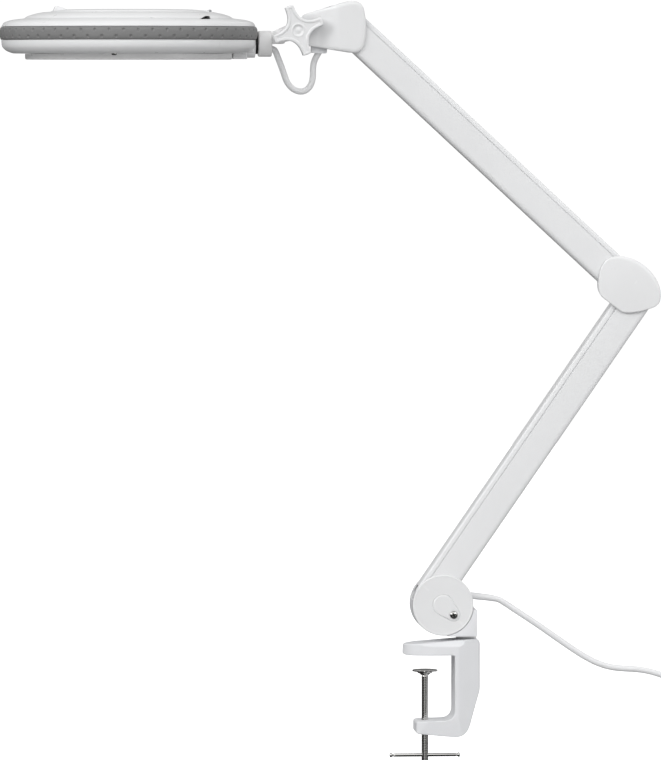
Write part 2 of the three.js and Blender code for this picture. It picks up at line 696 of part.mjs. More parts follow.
function neckKnuckle() {
  const collar = rodX(0, ROLL_Z, COLLAR_RADIUS, ...COLLAR, 24)
    .subtract(rodX(0, ROLL_Z, SPIGOT_RADIUS + GAP, COLLAR[0] - 1, COLLAR[1] - 2));
  const tongue = across(hull([[...KNOB_AXIS, 8], [-137, 551.8, 2], [-137, 559.5, 2]]), -3, 3);
  const neck = across(hull([[-130, 555.6, 5.8], [-137, 555.6, 5.8], [-139, 555.6, 5.8]]), -6, 6)
    .intersect(box([-139.5, -127], [-6, 6], [540, 570]));
  return collar.add(tongue).add(neck).subtract(rodY(...KNOB_AXIS, 3 + GAP, -FAR, FAR));
}

piece(lamp, 'neck_knuckle', neckKnuckle(), 'grey');
piece(lamp, 'pigtail_cable', tube(PIGTAIL_ROUTE, PIGTAIL_RADIUS, 20, 8), 'cord');
piece(lamp, 'head_spigot', rodX(0, ROLL_Z, SPIGOT_RADIUS, -178, COLLAR[1] - 2.6), 'steel');

// ---------------------------------------------------------------- magnifier head

function lowerHousing() {
  const profile = [
    [61, 552.2], [61, 550.4], [65, 550.4], [65, UNDERSIDE], [103.5, UNDERSIDE], [109.5, 543.6],
    [112.8, 546.8], [HEAD_RADIUS, 549.5], [HEAD_RADIUS, BAND_LOW - GAP], [111.6, BAND_LOW - GAP],
    [111.6, 549], [108, 545.4], [102, 543.6], [67, 543.6], [67, 559], [64.6, 559], [64.6, 552.2], [61, 552.2],
  ];
  const boss = box([-186, -155], [-11, 11], [UNDERSIDE + 1, BAND_LOW - 1]);
  const nose = rodX(0, ROLL_Z - 2, 10.5, -172, -153.4, SMALL_ROUND)
    .intersect(box([-200, -100], [-20, 20], [500, BAND_LOW - GAP]));
  const bore = rodX(0, ROLL_Z, SPIGOT_RADIUS + GAP, -180, -100);
  let housing = turned(profile, HEAD_X, 0).add(boss).add(nose).subtract(bore);
  for (const [x, y] of screwPlaces()) {
    housing = housing.subtract(rodZ(x, y, 1.5 + GAP, 530, 548, 8));
  }
  return housing;
}

function screwPlaces() {
  return [260, 140, 35].map((angle) => {
    const turn = THREE.MathUtils.degToRad(angle);
    return [HEAD_X + 100 * Math.cos(turn), 100 * Math.sin(turn)];
  });
}

function upperHousing() {
  const profile = [
    [67.6, 560], [69.4, 560], [69.4, 574.6], [90, 571.6], [108, 568], [111, BAND_HIGH + GAP],
    [HEAD_RADIUS, BAND_HIGH + GAP], [112, 569.2], [105, 571.4], [92.6, 572.9], [90.5, 575], [84, 577],
    [75.4, LID_SEAT + 1], [74.6, LID_SEAT], [67.6, LID_SEAT], [67.6, 560],
  ];
  const [x, y] = buttonPlace();
  const lugs = [-1, 1].map((side) => {
    const [low, high] = side < 0 ? [-16, -12.4] : [12.4, 16];
    return rodY(...LID_HINGE, 1.7, low, high).add(box([LID_HINGE[0] - 1.2, LID_HINGE[0] + 1.2], [low, high], [576.6, 579]));
  });
  return turned(profile, HEAD_X, 0)
    .add(lugs[0])
    .add(lugs[1])
    .subtract(rodY(...LID_HINGE, 0.8 + GAP, -20, 20, 8))
    .subtract(rodZ(x, y, 6 + GAP, 560, 600));
}

function gripBand() {
  const mid = (BAND_LOW + BAND_HIGH) / 2;
  const profile = [
    [112.2, BAND_LOW], [BAND_RADIUS - 1, BAND_LOW], [BAND_RADIUS - 0.2, BAND_LOW + 2], [BAND_RADIUS, mid],
    [BAND_RADIUS - 0.2, BAND_HIGH - 2], [BAND_RADIUS - 1, BAND_HIGH], [112.2, BAND_HIGH], [112.2, BAND_LOW],
  ];
  return turned(profile, HEAD_X, 0).subtract(rodX(0, ROLL_Z, SPIGOT_RADIUS + GAP, -170, -100));
}

function lens() {
  const half = 5.4;
  const edge = 1.6;
  const steps = 4;
  const face = (sign) => {
    const points = [];
    for (let i = 0; i <= steps; i++) {
      const r = (LENS_RADIUS * i) / steps;
      points.push([r, LENS_MID + sign * (half - (half - edge) * (i / steps) ** 2)]);
    }
    return points;
  };
  return turned([...face(-1), ...face(1).reverse()], HEAD_X, 0);
}

function lightRing() {
  const profile = [
    [67.4, RING_HIGH], [67.4, RING_LOW + 1], [68.4, RING_LOW], [RING_RADIUS - 1, RING_LOW],
    [RING_RADIUS, RING_LOW + 1], [RING_RADIUS, RING_HIGH], [RING_RADIUS - 1.4, RING_HIGH],
    [RING_RADIUS - 1.4, RING_LOW + 1.4], [68.8, RING_LOW + 1.4], [68.8, RING_HIGH], [67.4, RING_HIGH],
  ];
  return turned(profile, HEAD_X, 0);
}

function ledBoard() {
  const leds = 20;
  const radius = 80;
  let board = ring(70, 90, 539.6, 540.9, HEAD_X, 0);
  for (let i = 0; i < leds; i++) {
    const turn = ((i + 0.5) / leds) * 2 * Math.PI;
    const chip = new THREE.BoxGeometry(5, 5, 1.4);
    chip.rotateZ(turn);
    chip.translate(HEAD_X + radius * Math.cos(turn), radius * Math.sin(turn), 539.2);
    board = board.add(solid(chip));
  }
  return board;
}

function driverBoard() {
  const turn = THREE.MathUtils.degToRad(62);
  const board = box([-9, 9], [-22, 22], [546, 547.6])
    .add(box([-6, 6], [-16, -4], [547, 556]))
    .add(rodZ(0, 6, 4.5, 547, 557, TINY_ROUND))
    .rotate([0, 0, 62]);
  return board.translate([HEAD_X + 89 * Math.cos(turn), 89 * Math.sin(turn), 0]);
}

function lensCover() {
  const plate = turned([
    [0, LID_SEAT + GAP], [LID_RADIUS, LID_SEAT + GAP], [LID_RADIUS, LID_SEAT + 1.4],
    [LID_RADIUS - 1.6, LID_TOP - 0.7], [LID_RADIUS - 12, LID_TOP], [0, LID_TOP],
  ], HEAD_X, 0);
  const knuckle = rodY(...LID_HINGE, 1.4, -12, 12)
    .add(box([HEAD_X + LID_RADIUS - 4, LID_HINGE[0]], [-12, 12], [LID_SEAT + GAP + 0.2, LID_TOP - 0.8]));
  const tab = across([[-334.4, 580], [-332.5, 583.6], [-330, 584], [-322, LID_TOP], [-322, 579.5], [-334, 579]]
    .reverse(), -9, 9);
  return plate.add(knuckle).add(tab).subtract(rodY(...LID_HINGE, 0.8 + GAP, -20, 20, 8));
}

function buttonPlace() {
  const turn = THREE.MathUtils.degToRad(58);
  return [HEAD_X + 81 * Math.cos(turn), 81 * Math.sin(turn)];
}

piece(lamp, 'lower_housing', lowerHousing(), 'white');
piece(lamp, 'upper_housing', upperHousing(), 'white');
piece(lamp, 'grip_band', gripBand(), 'rubber');
piece(lamp, 'lens', lens(), 'glass');
piece(lamp, 'lens_retaining_ring', ring(61, 64.2, 556.5, 558.6, HEAD_X, 0), 'grey');
piece(lamp, 'light_ring_cover', lightRing(), 'diffuser');
piece(lamp, 'led_board', ledBoard(), 'board');
piece(lamp, 'driver_board', driverBoard(), 'board');
piece(lamp, 'lens_cover', lensCover(), 'white');
piece(lamp, 'lid_hinge_pin', rodY(...LID_HINGE, 0.8, -15.8, 15.8, 8), 'steel');
piece(lamp, 'power_button', rodZ(...buttonPlace(), 6, 571, 580), 'grey');
screwPlaces().forEach(([x, y], i) => {
  const head = rodZ(x, y, 2.6, UNDERSIDE - GAP - 1.4, UNDERSIDE - GAP, 10);
  piece(lamp, `housing_screw_${i + 1}`, rodZ(x, y, 1.5, UNDERSIDE - 1, 547.5, 8).add(head), 'chrome');
});

export default lamp;
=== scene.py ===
"""Looks of the clamp-on magnifying lamp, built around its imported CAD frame.

Sizes are millimetres in the part's own frame (X along the arms, Y across them, Z up) and become metres
where a mesh is made. Each fine piece stands for the CAD node it is named after and rides on its body.
"""

import json
import math

import bmesh
import bpy
import numpy as np
from mathutils import Matrix, Vector

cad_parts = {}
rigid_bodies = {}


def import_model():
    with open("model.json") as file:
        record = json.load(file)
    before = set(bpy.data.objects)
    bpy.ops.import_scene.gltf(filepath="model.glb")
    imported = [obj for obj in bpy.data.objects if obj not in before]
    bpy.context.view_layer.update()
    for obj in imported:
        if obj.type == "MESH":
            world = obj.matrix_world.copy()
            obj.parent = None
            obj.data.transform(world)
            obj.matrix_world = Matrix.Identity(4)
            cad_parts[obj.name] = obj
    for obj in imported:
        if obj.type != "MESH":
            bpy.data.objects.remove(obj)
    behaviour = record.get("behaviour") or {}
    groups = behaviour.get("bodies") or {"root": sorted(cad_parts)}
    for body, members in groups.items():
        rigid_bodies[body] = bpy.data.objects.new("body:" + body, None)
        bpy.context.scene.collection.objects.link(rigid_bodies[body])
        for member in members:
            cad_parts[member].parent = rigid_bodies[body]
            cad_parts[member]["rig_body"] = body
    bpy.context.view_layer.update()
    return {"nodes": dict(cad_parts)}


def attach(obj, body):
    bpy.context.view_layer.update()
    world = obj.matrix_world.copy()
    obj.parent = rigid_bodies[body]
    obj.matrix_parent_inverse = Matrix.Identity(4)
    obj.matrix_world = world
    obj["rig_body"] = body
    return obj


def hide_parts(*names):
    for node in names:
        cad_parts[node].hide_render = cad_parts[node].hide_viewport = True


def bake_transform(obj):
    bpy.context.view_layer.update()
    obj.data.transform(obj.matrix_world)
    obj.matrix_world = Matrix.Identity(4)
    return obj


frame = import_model()

MM = 0.001
GAP = 0.3

# ---------------------------------------------------------------- driving dimensions

BASE_PIVOT = (4.5, 52.6)
ELBOW_LOWER = (190.3, 321.6)
ELBOW_UPPER = (169.7, 344.5)
HEAD_PIVOT = (-70.7, 567.5)
KNOB_AXIS = (-116.1, 562.2)

CHANNEL_HALF = 14.0
CHANNEL_WALL = 1.2
CHANNEL_LOW = -15.0
CHANNEL_HIGH = 10.0
ARM_END = 20                    # arms and links are drawn this much too long, then cut to rounded ends
LINK_HALF = 12.4
LINK_LOW = 0.0
LINK_HIGH = 15.0
PIN_OFFSET = 7.5
PIN_RADIUS = 2.5

PLATE_HALF = 8.0
COVER_IN = 14.6
COVER_OUT = 17.2

DRUM = (15.0, 45.3)
DRUM_RADIUS = 27.5
DRUM_WALL = 1.8
DRUM_OPEN = (22, 170)
POST_X = 37.4
BRACKET_FOOT = 17.0

SCREW_RADIUS = 3.0
THREAD_PITCH = 1.5
THREAD_DEPTH = 0.09
PAD_TOP = -14.1
PAD_RADIUS = 11.4
BAR_Z = -91.4
BAR_RADIUS = 1.55
BAR_HALF = 32.0

HEAD_X = -266.9
HEAD_RADIUS = 113.8
BAND_RADIUS = 115.6
BAND_LOW = 553.8
BAND_HIGH = 565.2
UNDERSIDE = 541.5
LENS_RADIUS = 63.5
LENS_MID = 554.5
LID_RADIUS = 70.0
LID_SEAT = 577.6
LID_TOP = 580.9
LID_HINGE = (-194.6, 579.3)
RING_RADIUS = 92.7
RING_LOW = 536.1
RING_HIGH = 541.2
BUTTON_ANGLE = math.radians(58)
BUTTON_RADIUS = 81.0

ROLL_Z = 550.2
COLLAR = (-150.8, -138.6)
COLLAR_RADIUS = 11.7
SPIGOT_RADIUS = 6.0

FLOOR = -99.0
CORD_RADIUS = 2.8
CORD_EXIT = (43.0, 0.0, 52.6)
RELIEF_END = (63.0, 0.0, 49.9)
COIL_AT = (362.0, 37.0)
COIL_WIDE = 37.0
COIL_STEP = 5.7
PLUG_AT = (357.0, 18.0, -73.7)
PIGTAIL_RADIUS = 2.85

# ---------------------------------------------------------------- camera

CAMERA_AT = Vector((-0.537, -5.810, 0.525))
CAMERA_AIM = Vector((-0.0855, 0, 0.248))
CAMERA_LENS = 307.0


def make_camera():
    data = bpy.data.cameras.new("camera")
    data.lens = CAMERA_LENS
    data.sensor_width = 36
    data.clip_start = 0.1
    data.clip_end = 60
    camera = bpy.data.objects.new("camera", data)
    camera.location = CAMERA_AT
    camera.rotation_euler = (CAMERA_AIM - CAMERA_AT).to_track_quat("-Z", "Y").to_euler()
    bpy.context.scene.collection.objects.link(camera)
    bpy.context.scene.camera = camera


make_camera()

# ---------------------------------------------------------------- material nodes


class Nodes:
    """A small helper that adds and links the nodes of one tree."""

    def __init__(self, tree):
        self.tree = tree
        tree.nodes.clear()

    def add(self, kind, **values):
        node = self.tree.nodes.new(kind)
        for key, value in values.items():
            setattr(node, key, value)
        return node

    def link(self, out, socket):
        self.tree.links.new(out, socket)

    def noise(self, coords, scale, detail=3.0, roughness=0.55):
        node = self.add("ShaderNodeTexNoise")
        node.inputs["Scale"].default_value = scale
        node.inputs["Detail"].default_value = detail
        node.inputs["Roughness"].default_value = roughness
        self.link(coords, node.inputs["Vector"])
        return node.outputs["Fac"]

    def ramp(self, value, low, high, to_low, to_high):
        node = self.add("ShaderNodeMapRange")
        for key, number in (("From Min", low), ("From Max", high), ("To Min", to_low), ("To Max", to_high)):
            node.inputs[key].default_value = number
        self.link(value, node.inputs["Value"])
        return node.outputs["Result"]

    def math(self, operation, a, b):
        node = self.add("ShaderNodeMath", operation=operation)
        for socket, value in zip(node.inputs, (a, b)):
            if isinstance(value, (int, float)):
                socket.default_value = value
            else:
                self.link(value, socket)
        return node.outputs[0]

    def mix(self, factor, a, b):
        node = self.add("ShaderNodeMix", data_type="RGBA")
        self.link(factor, node.inputs["Factor"])
        for socket, value in ((node.inputs["A"], a), (node.inputs["B"], b)):
            if isinstance(value, tuple):
                socket.default_value = value
            else:
                self.link(value, socket)
        return node.outputs["Result"]

    def stretch(self, coords, scale):
        node = self.add("ShaderNodeMapping")
        node.inputs["Scale"].default_value = scale
        self.link(coords, node.inputs["Vector"])
        return node.outputs["Vector"]


def grey(level, warm=0.0):
    return (level * (1 + warm), level, level * (1 - warm), 1.0)


def make_look(name, colour, rough, metal=0.0, tone=0.03, blotch=24, grain=1900, grain_depth=0.00003,
              wear=0.04, wear_rough=-0.08, streak=None, coat=0.0, wobble=0.06, speck=0.0):
    """One moulded, painted or machined surface.

    tone is how much its colour drifts, grain its fine relief, wear the change of tone along its edges and
    streak the stretch of its scratches or drawn lines along X, Y and Z.
    """
    look = bpy.data.materials.new(name)
    look.use_nodes = True
    look.diffuse_color = colour
    nodes = Nodes(look.node_tree)
    out = nodes.add("ShaderNodeOutputMaterial")
    shader = nodes.add("ShaderNodeBsdfPrincipled")
    nodes.link(shader.outputs[0], out.inputs["Surface"])
    coords = nodes.add("ShaderNodeTexCoord").outputs["Object"]
    fine = nodes.stretch(coords, streak) if streak else coords

    drift = nodes.ramp(nodes.noise(coords, blotch), 0.3, 0.7, 0, 1)
    darker = tuple(c * (1 - tone) for c in colour[:3]) + (1,)
    lighter = tuple(min(1, c * (1 + tone)) for c in colour[:3]) + (1,)
    shade = nodes.mix(drift, darker, lighter)
    if speck:
        dots = nodes.ramp(nodes.noise(coords, 2600, 1), 0.62, 0.72, 0, speck)
        shade = nodes.mix(dots, shade, tuple(c * 0.6 for c in colour[:3]) + (1,))
    edge = nodes.add("ShaderNodeNewGeometry").outputs["Pointiness"]
    worn = nodes.ramp(edge, 0.53, 0.62, 0, 1)
    worn = nodes.math("MULTIPLY", worn, nodes.ramp(nodes.noise(coords, 160), 0.35, 0.65, 0.2, 1))
    rubbed = tuple(max(0, min(1, c * (1 + wear * 4))) for c in colour[:3]) + (1,)
    shade = nodes.mix(worn, shade, rubbed)
    nodes.link(shade, shader.inputs["Base Color"])

    smoothest, roughest = max(0.02, rough - wobble), min(1, rough + wobble)
    patchy = nodes.ramp(nodes.noise(fine, 110, 4), 0.3, 0.7, smoothest, roughest)
    patchy = nodes.math("ADD", patchy, nodes.math("MULTIPLY", worn, wear_rough))
    nodes.link(patchy, shader.inputs["Roughness"])
    shader.inputs["Metallic"].default_value = metal
    shader.inputs["Coat Weight"].default_value = coat
    shader.inputs["Coat Roughness"].default_value = 0.08

    relief = nodes.add("ShaderNodeBump")
    relief.inputs["Strength"].default_value = 0.35
    relief.inputs["Distance"].default_value = grain_depth
    nodes.link(nodes.noise(fine, grain, 2), relief.inputs["Height"])
    waves = nodes.add("ShaderNodeBump")
    waves.inputs["Strength"].default_value = 0.12
    waves.inputs["Distance"].default_value = 0.0004
    nodes.link(nodes.noise(coords, 70, 1), waves.inputs["Height"])
    nodes.link(relief.outputs["Normal"], waves.inputs["Normal"])
    nodes.link(waves.outputs["Normal"], shader.inputs["Normal"])
    return look


def make_glass():
    look = bpy.data.materials.new("lens_glass")
    look.use_nodes = True
    nodes = Nodes(look.node_tree)
    out = nodes.add("ShaderNodeOutputMaterial")
    shader = nodes.add("ShaderNodeBsdfPrincipled")
    nodes.link(shader.outputs[0], out.inputs["Surface"])
    coords = nodes.add("ShaderNodeTexCoord").outputs["Object"]
    tint = nodes.ramp(nodes.noise(coords, 14), 0.3, 0.7, 0, 1)
    nodes.link(nodes.mix(tint, (0.95, 0.985, 0.975, 1), (0.985, 1, 0.995, 1)), shader.inputs["Base Color"])
    smear = nodes.ramp(nodes.noise(coords, 60, 4), 0.55, 0.8, 0.015, 0.06)
    nodes.link(smear, shader.inputs["Roughness"])
    shader.inputs["Transmission Weight"].default_value = 1
    shader.inputs["IOR"].default_value = 1.52
    return look


def make_diffuser():
    look = make_look("diffuser", grey(0.96), 0.34, tone=0.02, grain=1300, coat=0.2)
    shader = next(n for n in look.node_tree.nodes if n.type == "BSDF_PRINCIPLED")
    shader.inputs["Transmission Weight"].default_value = 0.1
    shader.inputs["IOR"].default_value = 1.49
    return look


LOOKS = {
    "painted_casting": make_look("painted_casting", (0.765, 0.772, 0.79, 1), 0.44, tone=0.02, grain=1500,
                                 grain_depth=0.00006, wear=0.03),
    "painted_steel": make_look("painted_steel", (0.80, 0.805, 0.812, 1), 0.40, tone=0.015, grain=500,
                               grain_depth=0.000006, wear=0, wear_rough=0),
    "white_plastic": make_look("white_plastic", (0.80, 0.804, 0.81, 1), 0.33, tone=0.015, coat=0.15,
                               wear=0.03),
    "grey_plastic": make_look("grey_plastic", grey(0.78), 0.42, tone=0.03, streak=(9, 1, 1), grain=420,
                              grain_depth=0.00008, wear=0.05),
    "grip_rubber": make_look("grip_rubber", grey(0.205), 0.62, tone=0.06, grain=2200, grain_depth=0.00012,
                             wear=0.10, wear_rough=-0.12, speck=0.35),
    "chrome": make_look("chrome", (0.62, 0.615, 0.60, 1), 0.09, metal=1, tone=0.05, grain=900,
                        streak=(1, 1, 6), grain_depth=0.00001, wear=0.03, wobble=0.05),
    "bare_steel": make_look("bare_steel", (0.52, 0.53, 0.54, 1), 0.34, metal=1, tone=0.1, grain=1200,
                            streak=(1, 6, 1), wobble=0.1, wear=0.08),
    "lens_glass": make_glass(),
    "diffuser": make_diffuser(),
    "circuit_board": make_look("circuit_board", (0.74, 0.75, 0.70, 1), 0.5, tone=0.06, speck=0.2),
    "black_nylon": make_look("black_nylon", grey(0.028), 0.5, tone=0.15, wear=0.25),
    "cord_jacket": make_look("cord_jacket", (0.79, 0.793, 0.80, 1), 0.42, tone=0.02, grain=1500, wear=0.02),
}

NODE_LOOKS = {
    "post_bush": "grey_plastic", "swivel_post": "bare_steel", "base_arm_pin": "bare_steel",
    "base_link_pin": "bare_steel", "elbow_lower_arm_pin": "bare_steel", "elbow_lower_link_pin": "bare_steel",
    "elbow_upper_arm_pin": "bare_steel", "elbow_upper_link_pin": "bare_steel",
    "bracket_arm_pin": "bare_steel",
    "bracket_link_pin": "bare_steel", "knob_stud": "bare_steel", "friction_washer_front": "black_nylon",
    "friction_washer_rear": "black_nylon", "lower_arm_cable": "cord_jacket", "upper_arm_cable": "cord_jacket",
    "elbow_plate": "painted_casting", "led_board": "circuit_board", "driver_board": "circuit_board",
    "lid_hinge_pin": "bare_steel",
}

# ---------------------------------------------------------------- mesh helpers


def add_mesh(name, points, faces):
    """A closed mesh from millimetre points, with its faces turned outwards."""
    mesh = bpy.data.meshes.new(name)
    mesh.from_pydata([(x * MM, y * MM, z * MM) for x, y, z in points], [], faces)
    work = bmesh.new()
    work.from_mesh(mesh)
    bmesh.ops.remove_doubles(work, verts=work.verts, dist=1e-7)
    bmesh.ops.recalc_face_normals(work, faces=work.faces)
    work.to_mesh(mesh)
    work.free()
    obj = bpy.data.objects.new(name, mesh)
    bpy.context.scene.collection.objects.link(obj)
    return obj


def bands(loops, count):
    """Quads that join each ring of count points to the next in loops, which lists the rings by number."""
    return [(a * count + i, a * count + (i + 1) % count, b * count + (i + 1) % count, b * count + i)
            for a, b in zip(loops, loops[1:]) for i in range(count)]


def smooth(obj, angle=35):
    obj.data.polygons.foreach_set("use_smooth", [True] * len(obj.data.polygons))
    obj.data.set_sharp_from_angle(angle=math.radians(angle))
    return obj


def freeze(obj):
    """Applies obj's modifiers to its mesh."""
    done = bpy.data.meshes.new_from_object(obj.evaluated_get(bpy.context.evaluated_depsgraph_get()))
    obj.modifiers.clear()
    old = obj.data
    obj.data = done
    bpy.data.meshes.remove(old)
    return obj


def boolean(obj, other, operation):
    step = obj.modifiers.new("boolean", "BOOLEAN")
    step.operation = operation
    step.solver = "EXACT"
    step.object = other
    freeze(obj)
    bpy.data.objects.remove(other)
    return obj


def cut(obj, *others):
    for other in others:
        boolean(obj, other, "DIFFERENCE")
    return obj


def join(obj, *others):
    for other in others:
        boolean(obj, other, "UNION")
    return obj


def keep(obj, other):
    return boolean(obj, other, "INTERSECT")


def soften(obj, width, segments=3, angle=30):
    """Rounds the sharp edges by width millimetres."""
    step = obj.modifiers.new("bevel", "BEVEL")
    step.width = width * MM
    step.segments = segments
    step.limit_method = "ANGLE"
    step.angle_limit = math.radians(angle)
    step.use_clamp_overlap = True
    step.harden_normals = True
    return obj


def sliced(obj, low, high, step=5.0):
    """Parts obj's faces across X every step millimetres, so that no long slivers are left to shade badly."""
    work = bmesh.new()
    work.from_mesh(obj.data)
    for x in np.arange(low, high, step):
        bmesh.ops.bisect_plane(work, geom=work.verts[:] + work.edges[:] + work.faces[:],
                               plane_co=(x * MM, 0, 0), plane_no=(1, 0, 0), dist=1e-7)
    work.to_mesh(obj.data)
    work.free()
    return obj


def remelt(obj, voxel, turns=6):
    """Turns obj into one even skin with softly rounded edges, as a die casting has."""
    step = obj.modifiers.new("remesh", "REMESH")
    step.mode = "VOXEL"
    step.voxel_size = voxel * MM
    freeze(obj)
    step = obj.modifiers.new("smooth", "SMOOTH")
    step.factor = 0.5
    step.iterations = turns
    freeze(obj)
    obj.data.polygons.foreach_set("use_smooth", [True] * len(obj.data.polygons))
    return obj


def dress(obj, look):
    obj.data.materials.clear()
    obj.data.materials.append(LOOKS[look])


def stand_in(obj, look, *nodes):
    """obj takes a finish, rides on the body of the CAD nodes it stands for, and hides them."""
    dress(obj, look)
    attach(obj, frame["nodes"][nodes[0]]["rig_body"])
    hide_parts(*nodes)
    return obj


# ---------------------------------------------------------------- outlines


def bezier(*controls, count=10):
    """Points of a quadratic or cubic curve, without its first one."""
    controls = np.array(controls, float)
    degree = len(controls) - 1
    points = []
    for t in np.linspace(0, 1, count + 1)[1:]:
        weights = [math.comb(degree, k) * (1 - t) ** (degree - k) * t ** k for k in range(degree + 1)]
        points.append(tuple(np.array(weights) @ controls))
    return points


def trace(start, *steps, count=10):
    """An outline: each step is the end of a line, or the controls and end of a curve."""
    points = [start]
    for step in steps:
        if isinstance(step[0], tuple):
            points += bezier(points[-1], *step, count=count)
        else:
            points.append(step)
    if math.dist(points[0], points[-1]) < 1e-6:
        points.pop()
    return points


def hull(circles, facets=96):
    """The smallest convex outline round circles (x, z, radius)."""
    turns = [2 * math.pi * i / facets for i in range(facets)]
    points = sorted((x + r * math.cos(a), z + r * math.sin(a)) for x, z, r in circles for a in turns)

    def half(points):
        chain = []
        for p in points:
            while len(chain) > 1:
                o, q = chain[-2], chain[-1]
                if (q[0] - o[0]) * (p[1] - o[1]) - (q[1] - o[1]) * (p[0] - o[0]) > 1e-9:
                    break
                chain.pop()
            chain.append(p)
        return chain[:-1]

    return half(points) + half(points[::-1])


def rounded(profile, closed=True, count=5):
    """A profile whose corners (r, h, radius) are turned into arcs; a corner without a radius stays sharp."""
    result = []
    total = len(profile)
    for i, corner in enumerate(profile):
        here = np.array(corner[:2], float)
        radius = corner[2] if len(corner) > 2 else 0
        if not radius or (not closed and i in (0, total - 1)):
            result.append(tuple(here))
            continue
        before = np.array(profile[i - 1][:2], float) - here
        after = np.array(profile[(i + 1) % total][:2], float) - here
        reach = min(radius, 0.48 * np.linalg.norm(before), 0.48 * np.linalg.norm(after))
        start = here + before / np.linalg.norm(before) * reach
        end = here + after / np.linalg.norm(after) * reach
        result.append(tuple(start))
        result += bezier(tuple(start), tuple(here), tuple(end), count=count)
    return result


def prism(name, outline, low, high, axis="Y"):
    """An outline extruded along Y (its points are X, Z), Z (X, Y) or X (Y, Z)."""
    place = {
        "Y": lambda a, b, h: (a, h, b),
        "Z": lambda a, b, h: (a, b, h),
        "X": lambda a, b, h: (h, a, b),
    }[axis]
    count = len(outline)
    points = [place(a, b, h) for h in (low, high) for a, b in outline]
    faces = [(i, (i + 1) % count, count + (i + 1) % count, count + i) for i in range(count)]
    faces += [tuple(range(count)), tuple(range(count, 2 * count))]
    return add_mesh(name, points, faces)


def block(name, x, y, z):
    return prism(name, [(x[0], y[0]), (x[1], y[0]), (x[1], y[1]), (x[0], y[1])], *z, axis="Z")


def lathe(name, profile, centre, axis="Z", facets=96, closed=True):
    """A profile of (radius, height) turned about an axis through centre.

    A closed profile is a loop clear of the axis; an open one starts and ends on it.
    """
    rings = [(max(r, 0), h) for r, h in profile]
    place = {
        "Z": lambda r, h, a: (centre[0] + r * math.cos(a), centre[1] + r * math.sin(a), h),
        "X": lambda r, h, a: (h, centre[0] + r * math.cos(a), centre[1] + r * math.sin(a)),
        "Y": lambda r, h, a: (centre[0] + r * math.cos(a), h, centre[1] + r * math.sin(a)),
    }[axis]
    turns = [2 * math.pi * i / facets for i in range(facets)]
    points = [place(r, h, a) for r, h in rings for a in turns]
    loops = [*range(len(rings)), 0] if closed else range(len(rings))
    obj = add_mesh(name, points, bands(loops, facets))
    tidy = bmesh.new()
    tidy.from_mesh(obj.data)
    bmesh.ops.dissolve_degenerate(tidy, edges=tidy.edges, dist=1e-7)
    bmesh.ops.recalc_face_normals(tidy, faces=tidy.faces)
    tidy.to_mesh(obj.data)
    tidy.free()
    return obj


def rod(name, centre, radius, low, high, axis="Y", facets=64):
    profile = [(0, low), (radius, low), (radius, high), (0, high)]
    return lathe(name, profile, centre, axis, facets, closed=False)


def distance_to(outline, points):
    """Each point's distance to a closed outline."""
    start = np.array(outline, float)
    run = np.roll(start, -1, axis=0) - start
    best = np.full(len(points), 1e9)
    for a, d in zip(start, run):
        t = np.clip(((points - a) @ d) / max(d @ d, 1e-12), 0, 1)
        best = np.minimum(best, np.linalg.norm(points - (a + t[:, None] * d), axis=1))
    return best


def even(outline, step):
    """The outline again, with points about step apart and its corners kept."""
    result = []
    for a, b in zip(outline, outline[1:] + outline[:1]):
        count = max(1, round(math.dist(a, b) / step))
        result += [(a[0] + (b[0] - a[0]) * k / count, a[1] + (b[1] - a[1]) * k / count) for k in range(count)]
    return result


def convex(name, points):
    """The solid spanned by a few points."""
    mesh = bpy.data.meshes.new(name)
    work = bmesh.new()
    for point in points:
        work.verts.new([value * MM for value in point])
    bmesh.ops.convex_hull(work, input=work.verts)
    bmesh.ops.recalc_face_normals(work, faces=work.faces)
    work.to_mesh(mesh)
    work.free()
    obj = bpy.data.objects.new(name, mesh)
    bpy.context.scene.collection.objects.link(obj)
    return obj


def dished_plate(name, outline, middle, back, height, side, step=1.2, rings=30):
    """A plate across Y whose face follows height(distance to edge, x, z), seen from middle as a star."""
    edge = np.array(even(outline, step))
    centre = np.array(middle, float)
    count = len(edge)
    scales = 1 - np.linspace(0, 1, rings, endpoint=False) ** 1.8
    grid = np.concatenate([centre + (edge - centre) * s for s in scales] + [centre[None]])
    depth = height(distance_to(outline, grid), grid[:, 0], grid[:, 1])
    points = [(x, side * y, z) for (x, z), y in zip(grid, depth)]
    faces = bands(range(rings), count)
    tip = rings * count
    faces += [((rings - 1) * count + i, (rings - 1) * count + (i + 1) % count, tip) for i in range(count)]
    base = len(points)
    flat = back if callable(back) else (lambda x, z: np.full(len(x), float(back)))
    under = flat(grid[:, 0], grid[:, 1])
    points += [(x, side * y, z) for (x, z), y in zip(grid, under)]
    faces += [(base + a, base + d, base + c, base + b) for a, b, c, d in bands(range(rings), count)]
    faces += [(base + (rings - 1) * count + (i + 1) % count, base + (rings - 1) * count + i, base + tip)
              for i in range(count)]
    faces += [(i, base + i, base + (i + 1) % count, (i + 1) % count) for i in range(count)]
    return add_mesh(name, points, faces)


def edge_round(distance, radius, drop):
    """How far a face has fallen at a distance from its edge, round an elliptical corner."""
    t = np.clip(1 - distance / radius, 0, 1)
    return drop * (1 - np.sqrt(np.clip(1 - t ** 2, 0, 1)))


def smoothstep(value, low, high):
    t = np.clip((value - low) / (high - low), 0, 1)
    return t * t * (3 - 2 * t)


